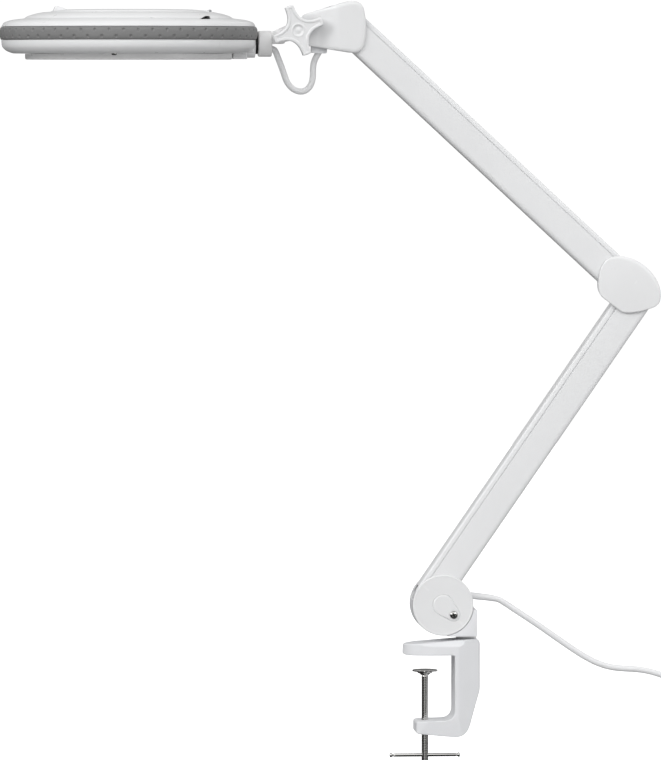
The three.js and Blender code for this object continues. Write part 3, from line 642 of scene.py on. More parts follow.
def route(points, step):
    """Even points along a smooth line through the given ones, none further than step apart."""
    p = np.array(points, float)
    p = np.concatenate([[2 * p[0] - p[1]], p, [2 * p[-1] - p[-2]]])
    result = []
    for i in range(1, len(p) - 2):
        knots = [0.0]
        for a, b in zip(p[i - 1:i + 2], p[i:i + 3]):
            knots.append(knots[-1] + math.sqrt(np.linalg.norm(b - a)))
        count = max(2, math.ceil(np.linalg.norm(p[i + 1] - p[i]) / step))
        for t in np.linspace(knots[1], knots[2], count, endpoint=False):
            row = [p[i - 1 + k] for k in range(4)]
            for level in (1, 2, 3):
                row = [((knots[k + level] - t) * row[k] + (t - knots[k]) * row[k + 1])
                       / (knots[k + level] - knots[k]) for k in range(len(row) - 1)]
            result.append(row[0])
    result.append(p[-2])
    return np.array(result)


def tube(name, line, radius, facets=32):
    """A round tube along a line in one plane or nearly so; radius may change along it."""
    line = np.array(line, float)
    ahead = np.gradient(line, axis=0)
    ahead /= np.linalg.norm(ahead, axis=1)[:, None]
    across = np.array([0.0, 1.0, 0.0])
    radii = radius if callable(radius) else (lambda t: radius)
    points = []
    for i, (p, d) in enumerate(zip(line, ahead)):
        side = across - d * (across @ d)
        side /= np.linalg.norm(side)
        up = np.cross(d, side)
        r = radii(i / (len(line) - 1))
        for a in np.linspace(0, 2 * math.pi, facets, endpoint=False):
            points.append(p + r * (math.cos(a) * side + math.sin(a) * up))
    faces = bands(range(len(line)), facets)
    faces += [tuple(range(facets)), tuple(range((len(line) - 1) * facets, len(line) * facets))]
    return add_mesh(name, [tuple(p) for p in points], faces)


# ---------------------------------------------------------------- power cord

CORD_ROUTE = [
    (50, 0, 51.7), (57, 0, 50.9), (63.5, 0, 49.8), (67, 0, 48.9), (71.6, 0, 46.3), (77.2, 0, 42.6),
    (88.7, 0, 35),
    (100.3, 0, 27.3), (111.8, 0, 19.3), (123.4, 0, 11.2), (134.9, 0, 3.3), (146.4, 0, -3.9), (158, 0, -9.6),
    (169.5, 0, -13), (181.1, 0, -14.4), (193, 0, -15.2), (206, 0, -17.6), (220, 0, -22.6), (234, 0, -30.8),
    (248, 0, -41.8), (262, 0, -54.4), (276, 0, -67.2), (290, 0, -78.8), (305, 0, -88), (322, 0, -93.8),
    (340.4, 0, -95.7),
]
TURNS_A_LAYER = 2
LAYERS = 3
POINTS_A_TURN = 16
LAYER_RISE = 5.9
CLIMB = 0.12                    # share of a turn over which the cord climbs to the next layer


def coil_route():
    """Spirals in and out, layer on layer, from the floor up, then round and into the plug."""
    points = []
    narrow = COIL_WIDE - TURNS_A_LAYER * COIL_STEP
    extra = 0.4
    total = TURNS_A_LAYER * LAYERS + extra
    ground = FLOOR + CORD_RADIUS + 0.1
    for i in range(round(total * POINTS_A_TURN) + 1):
        turn = i / POINTS_A_TURN
        layer = min(int(turn // TURNS_A_LAYER), LAYERS - 1)
        within = turn - layer * TURNS_A_LAYER
        radius = COIL_WIDE - COIL_STEP * within if layer % 2 == 0 else narrow + COIL_STEP * within
        climbed = layer if layer == 0 else layer - 1 + smoothstep(within, 0, CLIMB)
        last = smoothstep(turn, total - extra / 2 - CLIMB, total)
        angle = 2 * math.pi * turn - math.pi / 2
        points.append((COIL_AT[0] + radius * math.cos(angle), COIL_AT[1] + radius * math.sin(angle),
                       ground + LAYER_RISE * (climbed + last)))
    middle = (PLUG_AT[0] - 12, PLUG_AT[1] + 24)
    top = points[-1][2]
    for i in range(0, 13):
        angle = math.radians(94 + 176 * i / 12)
        rise = smoothstep(i / 12, 0.2, 1)
        points.append((middle[0] + 24 * math.cos(angle), middle[1] + 24 * math.sin(angle),
                       top + (PLUG_AT[2] - top) * rise))
    points.append((PLUG_AT[0] - 6, PLUG_AT[1], PLUG_AT[2]))
    return points


def power_cord():
    points = CORD_ROUTE + coil_route()
    data = bpy.data.curves.new("fine_power_cord", "CURVE")
    data.dimensions = "3D"
    spline = data.splines.new("BEZIER")
    spline.bezier_points.add(len(points) - 1)
    for knot, place in zip(spline.bezier_points, points):
        knot.co = [value * MM for value in place]
        knot.handle_left_type = knot.handle_right_type = "AUTO"
    data.resolution_u = 5
    data.bevel_depth = CORD_RADIUS * MM
    data.bevel_resolution = 6
    data.use_fill_caps = True
    obj = bpy.data.objects.new("fine_power_cord", data)
    bpy.context.scene.collection.objects.link(obj)
    return stand_in(obj, "cord_jacket", "power_cord_lead", "power_cord_coil")


def strain_relief():
    """A tapered boot with shallow ribs."""
    line = route([(39, 0, 52.9), CORD_EXIT, (50, 0, 51.75), (57, 0, 50.95), RELIEF_END], 0.35)

    def radius(t):
        body = 3.3 - 0.36 * t
        rib = 0.07 * max(0.0, math.sin(2 * math.pi * 11 * t)) if 0.2 < t < 0.95 else 0
        return body + rib if t < 0.985 else body - 0.1
    boot = smooth(tube("fine_strain_relief", line, radius, 40), 50)
    return stand_in(boot, "cord_jacket", "cord_strain_relief")


def mains_plug():
    x, y, z = PLUG_AT
    outline = hull([(x + 3, y - 7, 3), (x + 3, y + 7, 3), (x + 30, y - 13, 4.5), (x + 30, y + 13, 4.5)], 64)
    body = soften(prism("fine_mains_plug", outline, z - 6.9, z + 6.9, "Z"), 2.2, 5)
    freeze(body)
    for side in (-1, 1):
        grip = hull([(x + 8, y + side * 12.2, 1.2), (x + 22, y + side * 17.6, 1.4)], 24)
        cut(body, prism("groove", grip, z - 3, z + 3, "Z"))
    relief = [(0, x - 13), (3.0, x - 13)]
    for i in range(3):
        at, r = x - 12.4 + 3.4 * i, 3.6 + 0.35 * i
        relief += [(r, at), (r + 0.15, at + 2.1), (r - 0.6, at + 2.2), (r - 0.6, at + 3.3)]
    relief += [(4.7, x - 2.1), (4.9, x + 1), (0, x + 1)]
    join(body, lathe("relief", relief, (y, z), "X", 48, closed=False))
    smooth(body, 40)
    return stand_in(body, "white_plastic", "mains_plug")


def plug_pins():
    """Two round pins, shown as one pair on the plug."""
    x, y, z = PLUG_AT
    pins = None
    for side in (-9.5, 9.5):
        profile = rounded([(0, x + 34), (2.0, x + 34), (2.0, x + 52.9, 1.1), (0, x + 52.9)], False)
        pin = lathe(f"fine_plug_pins_{side}", profile, (y + side, z), "X", 32, closed=False)
        pins = join(pins, pin) if pins else pin
    pins.name = "fine_plug_pins"
    smooth(pins)
    dress(pins, "chrome")
    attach(pins, "base")
    return pins


def cord_tie():
    """A flat band round the bundle."""
    inner = COIL_AT[1] + 22.2
    outer = COIL_AT[1] + 40.6
    low, high = FLOOR + 0.05, FLOOR + 25.6

    def ring(aside, inset, corner):
        sides = (inner - aside, outer + aside)
        ends = (low + inset, high - inset)
        return rounded([(sides[0], ends[0], corner), (sides[1], ends[0], corner),
                        (sides[1], ends[1], corner), (sides[0], ends[1], corner)])
    loop, hole = ring(0.9, 0, 4), ring(0, 0.8, 3.4)
    x = (COIL_AT[0] - 3.2, COIL_AT[0] + 3.2)
    band = cut(prism("fine_cord_tie", loop, *x, "X"), prism("hole", hole, x[0] - 1, x[1] + 1, "X"))
    soften(band, 0.2, 2)
    smooth(band, 40)
    return stand_in(band, "black_nylon", "cord_tie")


cord = power_cord()
relief = strain_relief()
plug = mains_plug()
pins = plug_pins()
tie = cord_tie()

PIGTAIL_ROUTE = [
    (-137.7, 0, 545), (-136, 0, 544.7), (-133.4, 0, 539.2), (-130.3, 0, 531.3), (-127.8, 0, 524.5),
    (-125.6, 0, 518.1),
    (-122.4, 0, 512.8), (-117.9, 0, 509), (-112.1, 0, 507.4), (-107.1, 0, 509), (-103.1, 0, 513.7),
    (-101.4, 0, 520.9), (-101.3, 0, 526.8), (-100.7, 0, 532.4), (-99.4, 0, 536.4), (-97.8, 0, 539.4),
]


def pigtail():
    """The lead from the arm into the head, drawn as one fixed tube that does not bend as the head tilts."""
    start = (-140.5, 0, 546.2)
    end = (-95.2, 0, 544.0)
    line = route([start, *PIGTAIL_ROUTE[1:], end], 0.9)
    obj = smooth(tube("fine_pigtail", line, PIGTAIL_RADIUS - 0.05, 32), 60)
    dress(obj, "cord_jacket")
    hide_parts("pigtail_cable")
    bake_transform(obj)
    return obj


pigtail()

# ---------------------------------------------------------------- desk clamp


def clamp_frame():
    """The C-shaped casting, with its edges melted soft and a chamfered throat."""
    outline = trace(
        (-18, 0), (23.6, 0), ((25.6, 0), (25.6, -2)), (25.6, -49), ((25.6, -59), (15, -59)), (-7, -59.6),
        ((-9.2, -60), (-9.2, -62)), (-9.2, -69), ((-9, -71), (-5.8, -71)), (26.6, -74.1),
        ((36.5, -73.5), (39.7, -63.4)), (47.6, -36), ((49, -33), (49, -29)), (49, 9),
        ((49, 14.5), (44, 14.5)),
        (28, 13.6), (-17.6, 9.8), ((-19.4, 9.6), (-19.6, 8)), (-20.4, 3), ((-20.6, 0), (-18, 0)),
    )
    body = prism("fine_clamp_frame", outline, -19, 19)
    plan = hull([(-2, 0, 18.4), (5, 14, 5), (5, -14, 5), (29, 18, 1), (29, -18, 1), (46, 9, 3), (46, -9, 3)])
    keep(body, prism("plan", plan, -80, 20, "Z"))
    # The jaw's upper edges carry a bevel that widens towards the column; the foot is drafted.
    for side in (-1, 1):
        y = side * 19.4
        cut(body, convex("bevel", [
            (-26, y, 8.6), (-26, y, 24), (-26, side * 17.4, 24), (-26, side * 17.8, 10.4),
            (34, y, 7.4), (34, y, 24), (34, side * 13.6, 24), (34, side * 14.2, 14.2),
        ]))
        cut(body, convex("draft", [(-20, y, -52), (60, y, -52), (-20, y, -80), (60, y, -80),
                                   (-20, side * 17.2, -80), (60, side * 17.2, -80)]))
    cut(body, rod("hole", (0, 0), SCREW_RADIUS + GAP, -80, -50, "Z", 48))
    cut(body, rod("well", (POST_X, 0), 8.4, -26, 20, "Z", 64))
    remelt(body, 0.55, 2)
    return stand_in(body, "painted_casting", "clamp_frame")


def pressure_pad():
    profile = rounded([
        (0, -16.7), (2.9, -16.7), (2.9, -18.8), (3.9, -18.8, .3), (4.4, -17.8, .6), (6.6, -17, .8),
        (7.4, -15.6, .4), (PAD_RADIUS - 0.2, -15.5, .2), (PAD_RADIUS, -15.2, .2),
        (PAD_RADIUS, PAD_TOP - 0.05, .35), (PAD_RADIUS - 2.6, PAD_TOP, .5), (0, PAD_TOP),
    ], False)
    pad = smooth(lathe("fine_pressure_pad", profile, (0, 0), "Z", 96, closed=False), 50)
    return stand_in(pad, "chrome", "pressure_pad")


def clamp_screw():
    """A steel screw with a real helical thread and a plain neck in the pad's socket."""
    facets = 40
    top, start, end = -17.0, -19.9, -97.0

    def rings(*rows):
        return [(r * math.cos(a), r * math.sin(a), h) for r, h in rows
                for a in np.linspace(0, 2 * math.pi, facets, endpoint=False)]
    points = rings((0.0, top), (2.1, top), (2.4, top - 0.3), (2.4, start + 0.9))
    for h in np.arange(start, end, -THREAD_PITCH / 8):
        fade = min(1.0, (start - h) / 1.5, (h - end) / 1.5 + 0.05)
        for k in range(facets):
            phase = (h / THREAD_PITCH + k / facets) % 1
            crest = min(1.0, max(0.0, 2.2 * abs(phase - 0.5) - 0.05))
            r = SCREW_RADIUS - THREAD_DEPTH * (1 - crest) * max(0, fade)
            a = 2 * math.pi * k / facets
            points.append((r * math.cos(a), r * math.sin(a), float(h)))
    points += rings((2.3, end - 1), (0.0, end - 1))
    screw = add_mesh("fine_clamp_screw", points, bands(range(len(points) // facets), facets))
    cut(screw, rod("hole", (0, BAR_Z), BAR_RADIUS + 0.2, -6, 6, "X", 24))
    return stand_in(smooth(screw, 38), "chrome", "clamp_screw")


def tommy_bar():
    def tip(sign):
        end = BAR_HALF
        return [(r, sign * h) for r, h in (
            (0, end), (1.2, end - 0.12), (1.95, end - 0.6), (2.1, end - 1.2), (1.95, end - 1.8),
            (1.4, end - 2.3),
            (1.15, end - 3.2), (BAR_RADIUS - 0.05, end - 4.4), (BAR_RADIUS, end - 5.0),
        )]
    profile = tip(1) + tip(-1)[::-1]
    bar = smooth(lathe("fine_tommy_bar", profile, (0, BAR_Z), "X", 32, closed=False), 60)
    return stand_in(bar, "chrome", "tommy_bar")


clamp_frame()
pressure_pad()
clamp_screw()
tommy_bar()

# ---------------------------------------------------------------- arms


def arm_lines(start, end):
    """An arm's length and the matrix that takes its own frame (x along it, z up from it) to the lamp's."""
    run = Vector((end[0] - start[0], 0, end[1] - start[1]))
    tilt = math.atan2(run.z, run.x)
    place = Matrix.Translation(Vector((start[0], 0, start[1])) * MM) @ Matrix.Rotation(-tilt, 4, "Y")
    return run.length, place


def arm_point(start, end, along, up):
    tilt = math.atan2(end[1] - start[1], end[0] - start[0])
    return (start[0] + along * math.cos(tilt) - up * math.sin(tilt),
            start[1] + along * math.sin(tilt) + up * math.cos(tilt))


def folded(name, half, low, high, corner, x, web_low=True):
    """A sheet-metal channel with rounded bends, as a long prism along X."""
    wall = CHANNEL_WALL
    base, rim = (low, high) if web_low else (high, low)
    inner_base = base + wall if web_low else base - wall
    outer = rounded([(-half, rim), (-half, base, corner), (half, base, corner), (half, rim)], False, 6)
    outer = [outer[0]] + outer[1:-1] + [outer[-1]]
    inner = rounded([(half - wall, rim), (half - wall, inner_base, corner - wall),
                     (wall - half, inner_base, corner - wall), (wall - half, rim)], False, 6)
    return prism(name, outer + inner, *x, "X")


def outer_channel(name, start, end):
    length, place = arm_lines(start, end)
    channel = folded(f"fine_{name}_arm_channel", CHANNEL_HALF, CHANNEL_LOW, CHANNEL_HIGH, 4.8,
                     (-ARM_END, length + ARM_END))
    ends = hull([(0, -PIN_OFFSET, PIN_OFFSET), (length, -PIN_OFFSET, PIN_OFFSET),
                 (14, CHANNEL_HIGH - 2, 2), (length - 14, CHANNEL_HIGH - 2, 2)], 64)
    keep(channel, prism("ends", ends, -30, 30))
    half = CHANNEL_HALF - 5
    for x in ((-30, 8), (length - 8, length + 30)):
        cut(channel, block("mouth", x, (-half, half), (-30, CHANNEL_LOW + 3)))
    for x in (0, length):
        cut(channel, rod("hole", (x, -PIN_OFFSET), PIN_RADIUS + GAP, -30, 30))
    sliced(channel, 15, length - 15)
    channel.data.transform(place)
    soften(channel, 0.14, 2)
    smooth(channel, 40)
    return stand_in(channel, "painted_steel", f"{name}_arm_channel")


def inner_link(name, start, end):
    length, place = arm_lines(start, end)
    link = folded(f"fine_{name}_arm_link", LINK_HALF, LINK_LOW, LINK_HIGH, 2.2,
                  (-ARM_END, length + ARM_END), False)
    ends = hull([(0, PIN_OFFSET, PIN_OFFSET), (length, PIN_OFFSET, PIN_OFFSET)], 64)
    keep(link, prism("ends", ends, -30, 30))
    half = LINK_HALF - 2.6
    for x in ((-30, 2), (length - 17, length + 30)):
        cut(link, block("mouth", x, (-half, half), (LINK_HIGH - 3, 30)))
    for x in (0, length):
        cut(link, rod("hole", (x, PIN_OFFSET), PIN_RADIUS + GAP, -30, 30))
    for low, high in ((-13, 0.45 - LINK_HALF), (LINK_HALF - 0.45, 13)):
        cut(link, block("crease", (-40, length + 40), (low, high), (CHANNEL_HIGH - 0.7, CHANNEL_HIGH + 0.8)))
    sliced(link, 15, length - 15)
    link.data.transform(place)
    soften(link, 0.14, 2)
    smooth(link, 40)
    return stand_in(link, "painted_steel", f"{name}_arm_link")


def balance_spring(name, start, end):
    """A close-wound extension spring with a hook's straight shank at each end."""
    _, place = arm_lines(start, end)
    first, last, height, mean, coils = 70, 190, -7, 4.2, 48
    line = [(58, 0, height), (66, 0, height + 0.5), (69, 0, height + 2.6)]
    for i in range(coils * 14 + 1):
        a = 2 * math.pi * i / 14
        along = first + (last - first) * i / (coils * 14)
        line.append((along, mean * math.sin(a), height + mean * math.cos(a)))
    line += [(191, 0, height + 2.6), (194, 0, height + 0.5), (202, 0, height)]
    data = bpy.data.curves.new(f"fine_{name}_spring", "CURVE")
    data.dimensions = "3D"
    spline = data.splines.new("POLY")
    spline.points.add(len(line) - 1)
    for knot, (x, y, z) in zip(spline.points, line):
        knot.co = (x * MM, y * MM, z * MM, 1)
    data.bevel_depth = 0.8 * MM
    data.bevel_resolution = 1
    data.use_fill_caps = True
    data.transform(place)
    obj = bpy.data.objects.new(f"fine_{name}_spring", data)
    bpy.context.scene.collection.objects.link(obj)
    return stand_in(obj, "bare_steel", f"{name}_spring")


for arm_name, arm_start, arm_end in (("lower", BASE_PIVOT, ELBOW_LOWER), ("upper", HEAD_PIVOT, ELBOW_UPPER)):
    outer_channel(arm_name, arm_start, arm_end)
    inner_link(arm_name, arm_start, arm_end)
    balance_spring(arm_name, arm_start, arm_end)

BASE_PINS = [arm_point(BASE_PIVOT, ELBOW_LOWER, 0, side * PIN_OFFSET) for side in (-1, 1)]
HEAD_PINS = [arm_point(HEAD_PIVOT, ELBOW_UPPER, 0, side * PIN_OFFSET) for side in (-1, 1)]

# ---------------------------------------------------------------- base joint


def ring_sector(centre, inner, outer, start, end, count=64):
    turns = [math.radians(start + (end - start) * i / count) for i in range(count + 1)]
    return ([(centre[0] + outer * math.cos(a), centre[1] + outer * math.sin(a)) for a in turns]
            + [(centre[0] + inner * math.cos(a), centre[1] + inner * math.sin(a)) for a in reversed(turns)])


def drum_wall(name, low, high):
    wall = ring_sector(DRUM, DRUM_RADIUS - DRUM_WALL, DRUM_RADIUS - 0.05, DRUM_OPEN[1], 360 + DRUM_OPEN[0])
    return prism(name, wall, low, high)


def base_bracket():
    foot = (16, 26, 7)
    lug = hull([(*BASE_PINS[0], 5.5), (*BASE_PINS[1], 5.5)], 48)
    bracket = prism("fine_base_bracket", lug, -PLATE_HALF, PLATE_HALF)
    for pair in (((*BASE_PINS[0], 5.5), foot), (foot, (36, 26, 7))):
        join(bracket, prism("web", hull(pair, 48), -PLATE_HALF, PLATE_HALF))
    join(bracket, drum_wall("rim", -PLATE_HALF, PLATE_HALF))
    block_outline = hull([(20, BRACKET_FOOT + 2, 2), (44, BRACKET_FOOT + 2, 2), (44.5, 40, 1.5)], 32)
    body = prism("block", block_outline, -17, 17)
    for low, high in ((-30, -PLATE_HALF), (PLATE_HALF, 30)):
        cut(body, rod("bore", DRUM, DRUM_RADIUS + GAP, low, high, "Y", 128))
    soften(body, 0.8, 3)
    freeze(body)
    join(bracket, body)
    cut(bracket, rod("post", (POST_X, 0), 6.3, 10, 31, "Z"))
    cut(bracket, rod("cord", (0, CORD_EXIT[2]), CORD_RADIUS + 1, 30, 60, "X"))
    for x, z in BASE_PINS:
        cut(bracket, rod("pin", (x, z), PIN_RADIUS + GAP, -30, 30))
    return stand_in(smooth(bracket, 32), "painted_casting", "base_bracket")


def cap_outline(grow):
    return hull([(*DRUM, 9 + grow), (DRUM[0] + 9.5, DRUM[1] - 8.9, 5.4 + grow)], 96)


def base_cover(side, node):
    """A round cap with a raised lip, a hair-line groove round the pivot cap, and half of the drum wall."""
    circle = [(DRUM[0] + DRUM_RADIUS * math.cos(a), DRUM[1] + DRUM_RADIUS * math.sin(a))
              for a in np.linspace(0, 2 * math.pi, 240, endpoint=False)]

    def height(distance, x, z):
        lip = 0.14 * (1 - smoothstep(distance, 1.5, 2.1))
        groove = 0.45 * (1 - smoothstep(distance_to(cap_outline(0.3), np.column_stack([x, z])), 0.2, 0.7))
        return COVER_OUT - 0.16 + lip - edge_round(distance, 1.0, 1.0) - (groove if side < 0 else 0)
    cover = dished_plate(f"fine_{node}", circle, (DRUM[0] + 0.01, DRUM[1]), COVER_IN, height, side, 0.7, 84)
    low, high = sorted((side * (PLATE_HALF + GAP), side * (COVER_IN + 0.6)))
    join(cover, drum_wall("wall", low, high))
    cut(cover, rod("cord", (0, CORD_EXIT[2]), CORD_RADIUS + 1, 30, 60, "X"))
    return stand_in(smooth(cover, 30), "white_plastic", node)


def pivot_cap():
    front = COVER_OUT + GAP + 0.15
    screw_at = (DRUM[0] + 9.5, DRUM[1] - 8.9)
    cap = dished_plate("fine_pivot_cap", cap_outline(0), (DRUM[0] + 4.2, DRUM[1] - 4), COVER_OUT - 0.35,
                       lambda d, x, z: front - edge_round(d, 0.7, 0.6), -1, step=0.8, rings=22)
    cut(cap, rod("hole", screw_at, 3.9, -30, 0))
    return stand_in(smooth(cap, 40), "white_plastic", "pivot_cap")


def phillips(x, y, z, size, depth, axis):
    """Two crossed slots, as a cutter."""
    arms = []
    for turned in (0, 1):
        w, t = (size, 0.32 * size) if turned == 0 else (0.32 * size, size)
        a, b = math.cos(0.5), math.sin(0.5)
        corners = [(-w, -t), (w, -t), (w, t), (-w, t)]
        corners = [(p * a - q * b, p * b + q * a) for p, q in corners]
        if axis == "Y":
            arms.append(prism("slot", [(x + p, z + q) for p, q in corners], y - depth, y + depth, "Y"))
        else:
            arms.append(prism("slot", [(x + p, y + q) for p, q in corners], z - depth, z + depth, "Z"))
    return arms


def cap_screw():
    x, z = DRUM[0] + 9.5, DRUM[1] - 8.9
    back, front = COVER_OUT + 0.1, COVER_OUT + GAP + 1.5
    profile = rounded([
        (0, -back), (3.45, -back), (3.5, -back - 0.4, .3), (2.8, -front + 0.6, .8), (1.4, -front + 0.1, .5),
        (0, -front),
    ], False)
    screw = lathe("fine_pivot_cap_screw", profile, (x, z), "Y", 64, closed=False)
    cut(screw, *phillips(x, -front, z, 2.3, 1.5, "Y"))
    return stand_in(smooth(screw, 40), "chrome", "pivot_cap_screw")


base_bracket()
base_cover(-1, "base_cover_front")
base_cover(1, "base_cover_rear")
pivot_cap()
cap_screw()

# ---------------------------------------------------------------- elbow

ELBOW_OUTLINE = trace(
    (154.9, 334), ((154.9, 329), (155.5, 325), (159.5, 321.7)), (172, 312.3),
    ((175, 310), (177, 308.3), (181, 308.3)),
    ((188, 308.3), (195, 309.5), (202, 312)), ((209, 314), (211.8, 317), (211.8, 324.8)),
    ((211, 343), (192, 359), (175, 359.5)), ((163, 359.5), (155.5, 354), (154.9, 334)), count=14,
)


def elbow_cover(side, node):
    """A softly crowned cap, rounded over towards the outside of the bend, with its own side wall there."""
    middle = (187, 334)
    size = 1 if side < 0 else 0.91

    def scaled(scale):
        return [(middle[0] + (x - middle[0]) * scale, middle[1] + (z - middle[1]) * scale)
                for x, z in ELBOW_OUTLINE]

    def height(distance, x, z):
        outward = smoothstep((x - 184) * 0.62 + (z - 333) * 0.78, 2, 24)
        fall = edge_round(distance, 1.1 + 3.4 * outward, 0.9 + 0.8 * outward)
        crown = 1.2 * (1 - ((x - middle[0]) ** 2 + (z - middle[1]) ** 2) / 30 ** 2)
        return COVER_OUT - 0.35 + crown - fall
    cover = dished_plate(f"fine_{node}", scaled(size), middle, COVER_IN, height, side, 1.0, 40)
    low, high = sorted((side * 0.15, side * (COVER_IN + 0.6)))
    wall = prism("wall", scaled(size * 0.996), low, high)
    cut(wall, prism("inside", scaled(size * 0.93), low - 1, high + 1))
    keep(wall, block("sector", (182, 230), (-30, 30), (319, 370)))
    join(cover, wall)
    return stand_in(smooth(cover, 32), "white_plastic", node)


elbow_cover(-1, "elbow_cover_front")
elbow_cover(1, "elbow_cover_rear")

# ---------------------------------------------------------------- head bracket and knob

BRACKET_OUTLINE = trace(
    (-106, 548.4), (-68, 542.4), ((-61, 541.4), (-57, 545), (-56, 552)), ((-54, 560), (-54, 570), (-56, 578)),
    ((-57, 587), (-63, 590.5), (-72, 588)), (-106, 577.7), ((-109, 576.8), (-111.8, 575), (-111.8, 572)),
    (-111.8, 555), ((-111.8, 551), (-110, 549.5), (-106, 548.4)), count=14,
)


def bracket_cover(side, node):
    """A cap that narrows towards the knob, with soft edges."""
    def pinch(x):
        return smoothstep(x, -98, -78)

    def height(distance, x, z):
        full = PLATE_HALF + GAP + 1.8 + (COVER_OUT + 0.2 - PLATE_HALF - GAP - 1.8) * pinch(x)
        return full - edge_round(distance, 2.2 + 1.8 * pinch(x), 1.0 + 0.9 * pinch(x))

    def back(x, z):
        return PLATE_HALF + GAP + (COVER_IN - PLATE_HALF - GAP) * smoothstep(x, -95.5, -84.4)
    cover = dished_plate(f"fine_{node}", BRACKET_OUTLINE, (-80, 565), back, height, side, 1.0, 40)
    low, high = sorted((0, side * 30))
    cut(cover, rod("knob", KNOB_AXIS, 8.8, low, high, "Y", 96))
    return stand_in(smooth(cover, 32), "white_plastic", node)


def head_bracket():
    arm = hull([(*HEAD_PINS[0], 5.5), (*HEAD_PINS[1], 5.5), (-104, 562.4, 7)], 48)
    bracket = prism("fine_head_bracket", arm, -PLATE_HALF, PLATE_HALF)
    join(bracket, prism("nose", hull([(-100, 562.4, 7), (*KNOB_AXIS, 8)], 64), -PLATE_HALF, PLATE_HALF))
    gland = hull([(-101.5, 543.4, 1.5), (-90.5, 543.0, 1.5), (-101.5, 558, 1.5), (-90.5, 558, 1.5)], 32)
    join(bracket, prism("gland", gland, -5, 5))
    cut(bracket, block("slot", (-140, -106), (-4.4, 4.4), (540, 590)))
    cut(bracket, rod("stud", KNOB_AXIS, 3.3, -30, 30))
    for x, z in HEAD_PINS:
        cut(bracket, rod("pin", (x, z), PIN_RADIUS + GAP, -30, 30))
    soften(bracket, 0.35, 2)
    return stand_in(smooth(bracket, 40), "painted_casting", "head_bracket")


def star_outline(lean=21.0, tip=23.4, half_tip=3.9, valley=11.3):
    """Four arms with flat, slightly rounded tips and hollow flanks between them."""
    outline = []
    for i in range(4):
        turn = math.radians(lean + 90 * i)

        def at(angle, radius, aside):
            return (KNOB_AXIS[0] + radius * math.cos(angle) - aside * math.sin(angle),
                    KNOB_AXIS[1] + radius * math.sin(angle) + aside * math.cos(angle))
        shoulders = [at(turn, tip - 1.4, side * half_tip) for side in (-1, 1)]
        edges = [at(turn, tip - 0.5, side * half_tip) for side in (-1, 1)]
        ends = [at(turn, tip - 0.3, side * (half_tip - 1.0)) for side in (-1, 1)]
        outline.append(shoulders[0])
        outline += bezier(shoulders[0], edges[0], ends[0], count=4)
        outline.append(at(turn, tip, 0))
        outline += bezier(ends[1], edges[1], shoulders[1], count=4)
        following = turn + math.pi / 2
        middle = at(turn + math.pi / 4, 2 * valley - (tip - 1.4 + half_tip) / math.sqrt(2), 0)
        flank = bezier(at(turn, tip - 1.4, half_tip), middle, at(following, tip - 1.4, -half_tip), count=18)
        outline += flank[:-1]
    return outline


def star_knob():
    """Raised rim, sunk face and a round dimple in the middle."""
    outline = star_outline()

    def height(distance, x, z):
        from_axis = np.hypot(x - KNOB_AXIS[0], z - KNOB_AXIS[1])
        sunk = 0.75 * smoothstep(distance, 2.0, 3.1)
        lip = 0.35 * (1 - smoothstep(abs(from_axis - 5.6), 0, 1.1))
        dimple = 1.1 * (1 - smoothstep(from_axis, 3.3, 5.2)) - lip
        dome = 0.9 * (1 - smoothstep(from_axis, 0, 3.2))
        return 24 - edge_round(distance, 1.3, 1.1) - sunk - dimple + dome
    knob = dished_plate("fine_star_knob", outline, KNOB_AXIS, 12.3, height, -1, 0.55, 60)
    join(knob, rod("hub", KNOB_AXIS, 8, -13, -PLATE_HALF - GAP - 0.1, "Y", 64))
    cut(knob, rod("hole", KNOB_AXIS, 3.3, -21, 0))
    return stand_in(smooth(knob, 38), "white_plastic", "star_knob")


def neck_knuckle():
    """The collar the head turns in, with a chamfered mouth, and the tongue clamped by the knob."""
    profile = rounded([
        (SPIGOT_RADIUS + GAP, COLLAR[0]), (COLLAR_RADIUS - 0.7, COLLAR[0], .1),
        (COLLAR_RADIUS, COLLAR[0] + 0.9, .5), (COLLAR_RADIUS, COLLAR[1] - 0.9, .5),
        (COLLAR_RADIUS - 0.8, COLLAR[1], .1), (SPIGOT_RADIUS + GAP, COLLAR[1]),
    ])
    collar = lathe("fine_neck_knuckle", profile, (0, ROLL_Z), "X", 128)
    join(collar, rod("end", (0, ROLL_Z), SPIGOT_RADIUS + 2, COLLAR[1] - 2, COLLAR[1], "X", 48))
    tongue = hull([(*KNOB_AXIS, 8), (-137, 551.8, 2), (-137, 559.5, 2)], 64)
    join(collar, prism("tongue", tongue, -3, 3))
    neck = prism("neck", hull([(-130, 555.6, 5.6), (-139, 555.6, 5.6)], 48), -6, 6)
    join(collar, keep(neck, block("span", (-139.4, -127), (-7, 7), (540, 570))))
    cut(collar, rod("hole", KNOB_AXIS, 3.3, -30, 30))
    soften(collar, 0.3, 2)
    return stand_in(smooth(collar, 36), "grey_plastic", "neck_knuckle")


def head_spigot():
    """The tube the head rolls on, with the notched detent ring that shows in the gap by the collar."""
    low, high = -178, COLLAR[1] - 2.6
    spigot = rod("fine_head_spigot", (0, ROLL_Z), SPIGOT_RADIUS, low, high, "X", 64)
    ring = []
    for i in range(24 * 6):
        angle = 2 * math.pi * i / (24 * 6)
        radius = 9.2 if (i // 3) % 2 else 8.1
        ring.append((radius * math.cos(angle), ROLL_Z + radius * math.sin(angle)))
    join(spigot, prism("detent", ring, -152.9, -151.3, "X"))
    soften(spigot, 0.12, 2)
    return stand_in(smooth(spigot, 40), "black_nylon", "head_spigot")


bracket_cover(-1, "bracket_cover_front")
bracket_cover(1, "bracket_cover_rear")
head_bracket()
star_knob()
neck_knuckle()
head_spigot()

# ---------------------------------------------------------------- magnifier head

